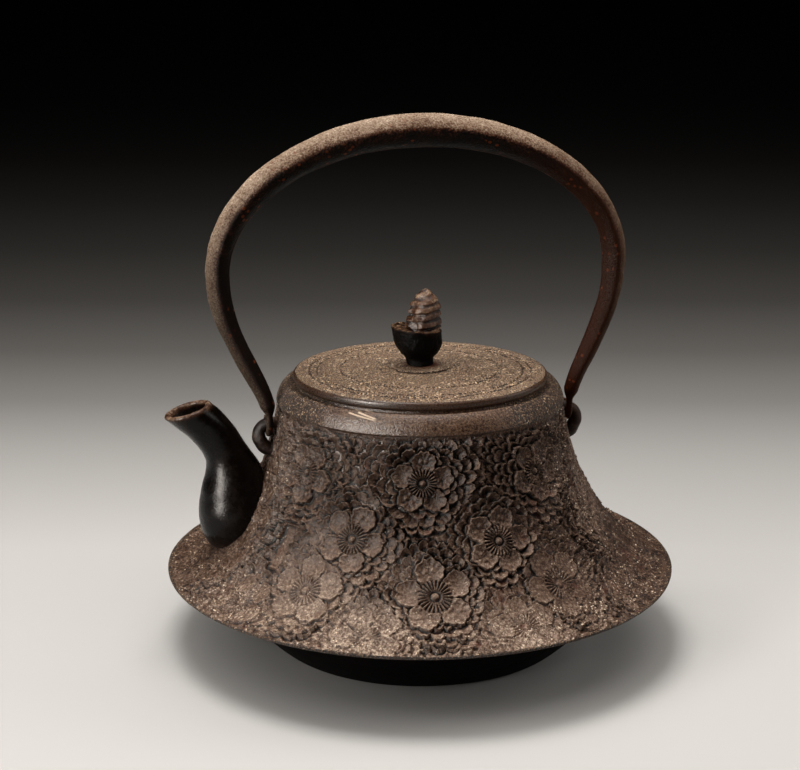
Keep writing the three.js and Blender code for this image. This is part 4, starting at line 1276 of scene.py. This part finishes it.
# %% Finish of the cone and the bowl
cone_iron = Finish("cone_iron", Specular_IOR_Level=0.4)
grain = cone_iron.noise(330, 5, 0.8)
level = cone_iron.value("ridge") * 0.2 + (grain - 0.5) * 1.7 + cone_iron.value("up") * 0.2 + 0.28
cone_tone = cone_iron.ramp(level, [
    (0.0, (8, 3, 2)), (0.25, (36, 19, 11)), (0.45, (82, 52, 34)), (0.65, (122, 88, 64)),
    (0.9, (190, 160, 130)),
])
cone_material = cone_iron.cast(cone_tone, (grain - 0.5) * 0.6 + 0.24, grain, 0.0006)

bowl_iron = Finish("knob_bowl_iron", Specular_IOR_Level=0.04)
granular_value = bowl_iron.value("granular")
grain = bowl_iron.noise(480, 4, 0.85)
level = (grain - 0.5) * (granular_value * 1.8 + 0.8) + granular_value * 0.44 + 0.1
bowl_tone = bowl_iron.ramp(level, [
    (0.0, (1, 0, 0)), (0.2, (6, 2, 1)), (0.35, (30, 16, 10)), (0.55, (84, 58, 40)), (0.8, (150, 120, 92)),
    (1.0, (206, 178, 148)),
])
bowl_material = bowl_iron.cast(bowl_tone, (grain - 0.5) * 0.6 + 0.42, grain, 0.0006)
print("finishes", len(bpy.data.materials))


# %% [markdown]
# ## Putting it together
# Each surface takes its finish, rides on its body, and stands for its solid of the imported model.

# %% Dress, ride, replace
def place(piece, material, body, slot, *nodes):
    """Gives a piece its one material and its body, and hides the solids that it stands for. The slot is not
    used.
    """
    piece.data.materials.clear()
    piece.data.materials.append(material)
    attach(piece, body)
    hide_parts(*nodes)


for panel in panels:
    place(panel, relief_material, "kettle", "body_iron", "body_shell")
place(casting, collar_material, "kettle", "body_iron", "body_shell")
place(spout, spout_material, "kettle", "black_iron", "spout")
place(bottom, bottom_material, "kettle", "black_iron", "bottom_bowl")
place(ears[0], ear_material, "kettle", "body_iron", "ear_spout_side")
place(ears[1], ear_material, "kettle", "body_iron", "ear_far_side")
place(bail, handle_material, "handle", "bail_iron", "bail_handle")
place(lid, lid_material, "lid", "lid_iron", "lid_plate")
place(dish, dish_material, "lid", "rust_iron", "knob_seat")
place(cup, bowl_material, "lid", "black_iron", "knob_cup")
place(stem, bottom_material, "lid", "black_iron", "knob_cup")
place(cone, cone_material, "lid", "rust_iron", "knob_cone")
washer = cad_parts["knob_washer"]
washer.data.materials.clear()
washer.data.materials.append(washer_material)

# %% [markdown]
# ## Floor and light
# The photograph has a pale ground that fades to black behind the kettle. One large floor does this, with a
# colour that darkens with distance, so no backdrop is needed. There are soft lamps overhead and at the
# sides, and a bright card to the left that only glossy surfaces show: it draws the long highlight on the
# spout's belly.

# %% Floor
FLOOR_R, FLOOR_CIRCLE = 16.0, 64
floor_rows = np.concatenate([[0.01], np.geomspace(0.2, FLOOR_R, 40)]) / MM
floor_points = turned(np.stack([floor_rows, 0 * floor_rows], -1), full_circle(FLOOR_CIRCLE))
floor = sheet_mesh("floor", floor_points, flip=True)
floor_finish = Finish("floor_paper", Roughness=0.9, Specular_IOR_Level=0.1)
across_floor = floor_finish.axis("X")
along_floor = floor_finish.axis("Y")
behind = across_floor * 0.21 + along_floor * 0.98
# The floor's colour darkens with distance from the kettle: painted falloff of light, a painted pool of light
# round the kettle.
FLOOR_FALLOFF_TONES = [(-0.2, 203), (0.0, 199), (0.09, 192), (0.16, 178), (0.244, 159), (0.346, 125), (0.473, 93),
               (0.635, 66), (0.845, 49), (1.134, 34), (1.457, 19), (2.2, 0)]
BOUNCE = 0.14
NEAREST, FARTHEST = -0.2, 2.2
stops = [((metres - NEAREST) / (FARTHEST - NEAREST), (grey, max(grey - 2, 0), max(grey - 4, 0)))
         for metres, grey in FLOOR_FALLOFF_TONES]
share = (behind - NEAREST) / (FARTHEST - NEAREST)
seen = floor_finish.add("ShaderNodeValToRGB", {"stops": stops}, {0: share})
bounced = floor_finish.add("ShaderNodeVectorMath", {"operation": "SCALE"}, {0: seen, "Scale": BOUNCE})
camera_ray = floor_finish.add("ShaderNodeLightPath", out="Is Camera Ray")
glossy_ray = floor_finish.add("ShaderNodeLightPath", out="Is Glossy Ray")
clear_ray = floor_finish.add("ShaderNodeLightPath", out="Is Transmission Ray")
tone = floor_finish.mix(camera_ray + glossy_ray + clear_ray, bounced, seen)
floor.data.materials.append(floor_finish.set(Base_Color=tone))


# %% Lamps
def softbox(name, place, aim, wide, high, watts, colour=(1, 1, 1), gloss_only=False):
    """A rectangular lamp at a place in mm that faces the aim; gloss_only makes it a card for highlights."""
    data = bpy.data.lights.new(name, "AREA")
    data.shape = "RECTANGLE"
    data.size, data.size_y, data.energy, data.color = wide, high, watts, colour
    lamp = bpy.data.objects.new(name, data)
    bpy.context.scene.collection.objects.link(lamp)
    lamp.location = np.array(place) * MM
    from_lamp = (np.array(aim) - np.array(place)).astype(float)
    lamp.rotation_euler = Vector(from_lamp).to_track_quat("-Z", "Y").to_euler()
    lamp.visible_diffuse = not gloss_only
    lamp.visible_camera = False
    return lamp


WARM = (1, 0.97, 0.93)
softbox("lamp_overhead", (-20, 40, 1050), (0, 0, 60), 1.9, 1.5, 11, WARM)
softbox("lamp_key", (-120, 60, 1050), (0, 0, 60), 0.4, 0.4, 6.8, WARM)
softbox("lamp_left_fill", (-720, -480, 270), (0, 0, 70), 0.12, 0.6, 1.6, WARM)
softbox("card_left", (-744, -430, 270), (0, 0, 70), 0.3, 0.6, 23.0, (1, 0.92, 0.84), gloss_only=True)
softbox("lamp_left_high", (-700, -260, 560), (0, 0, 90), 0.3, 0.3, 1.2, WARM)
softbox("lamp_right", (1000, -100, 500), (0, 0, 80), 0.5, 0.5, 2.9, WARM)
world = bpy.data.worlds.new("dim_room")
bpy.context.scene.world = world
world.use_nodes = True
world.node_tree.nodes["Background"].inputs["Color"].default_value = (0.9, 0.95, 1.0, 1)
world.node_tree.nodes["Background"].inputs["Strength"].default_value = 0.006
bpy.context.scene.view_settings.view_transform = "Standard"
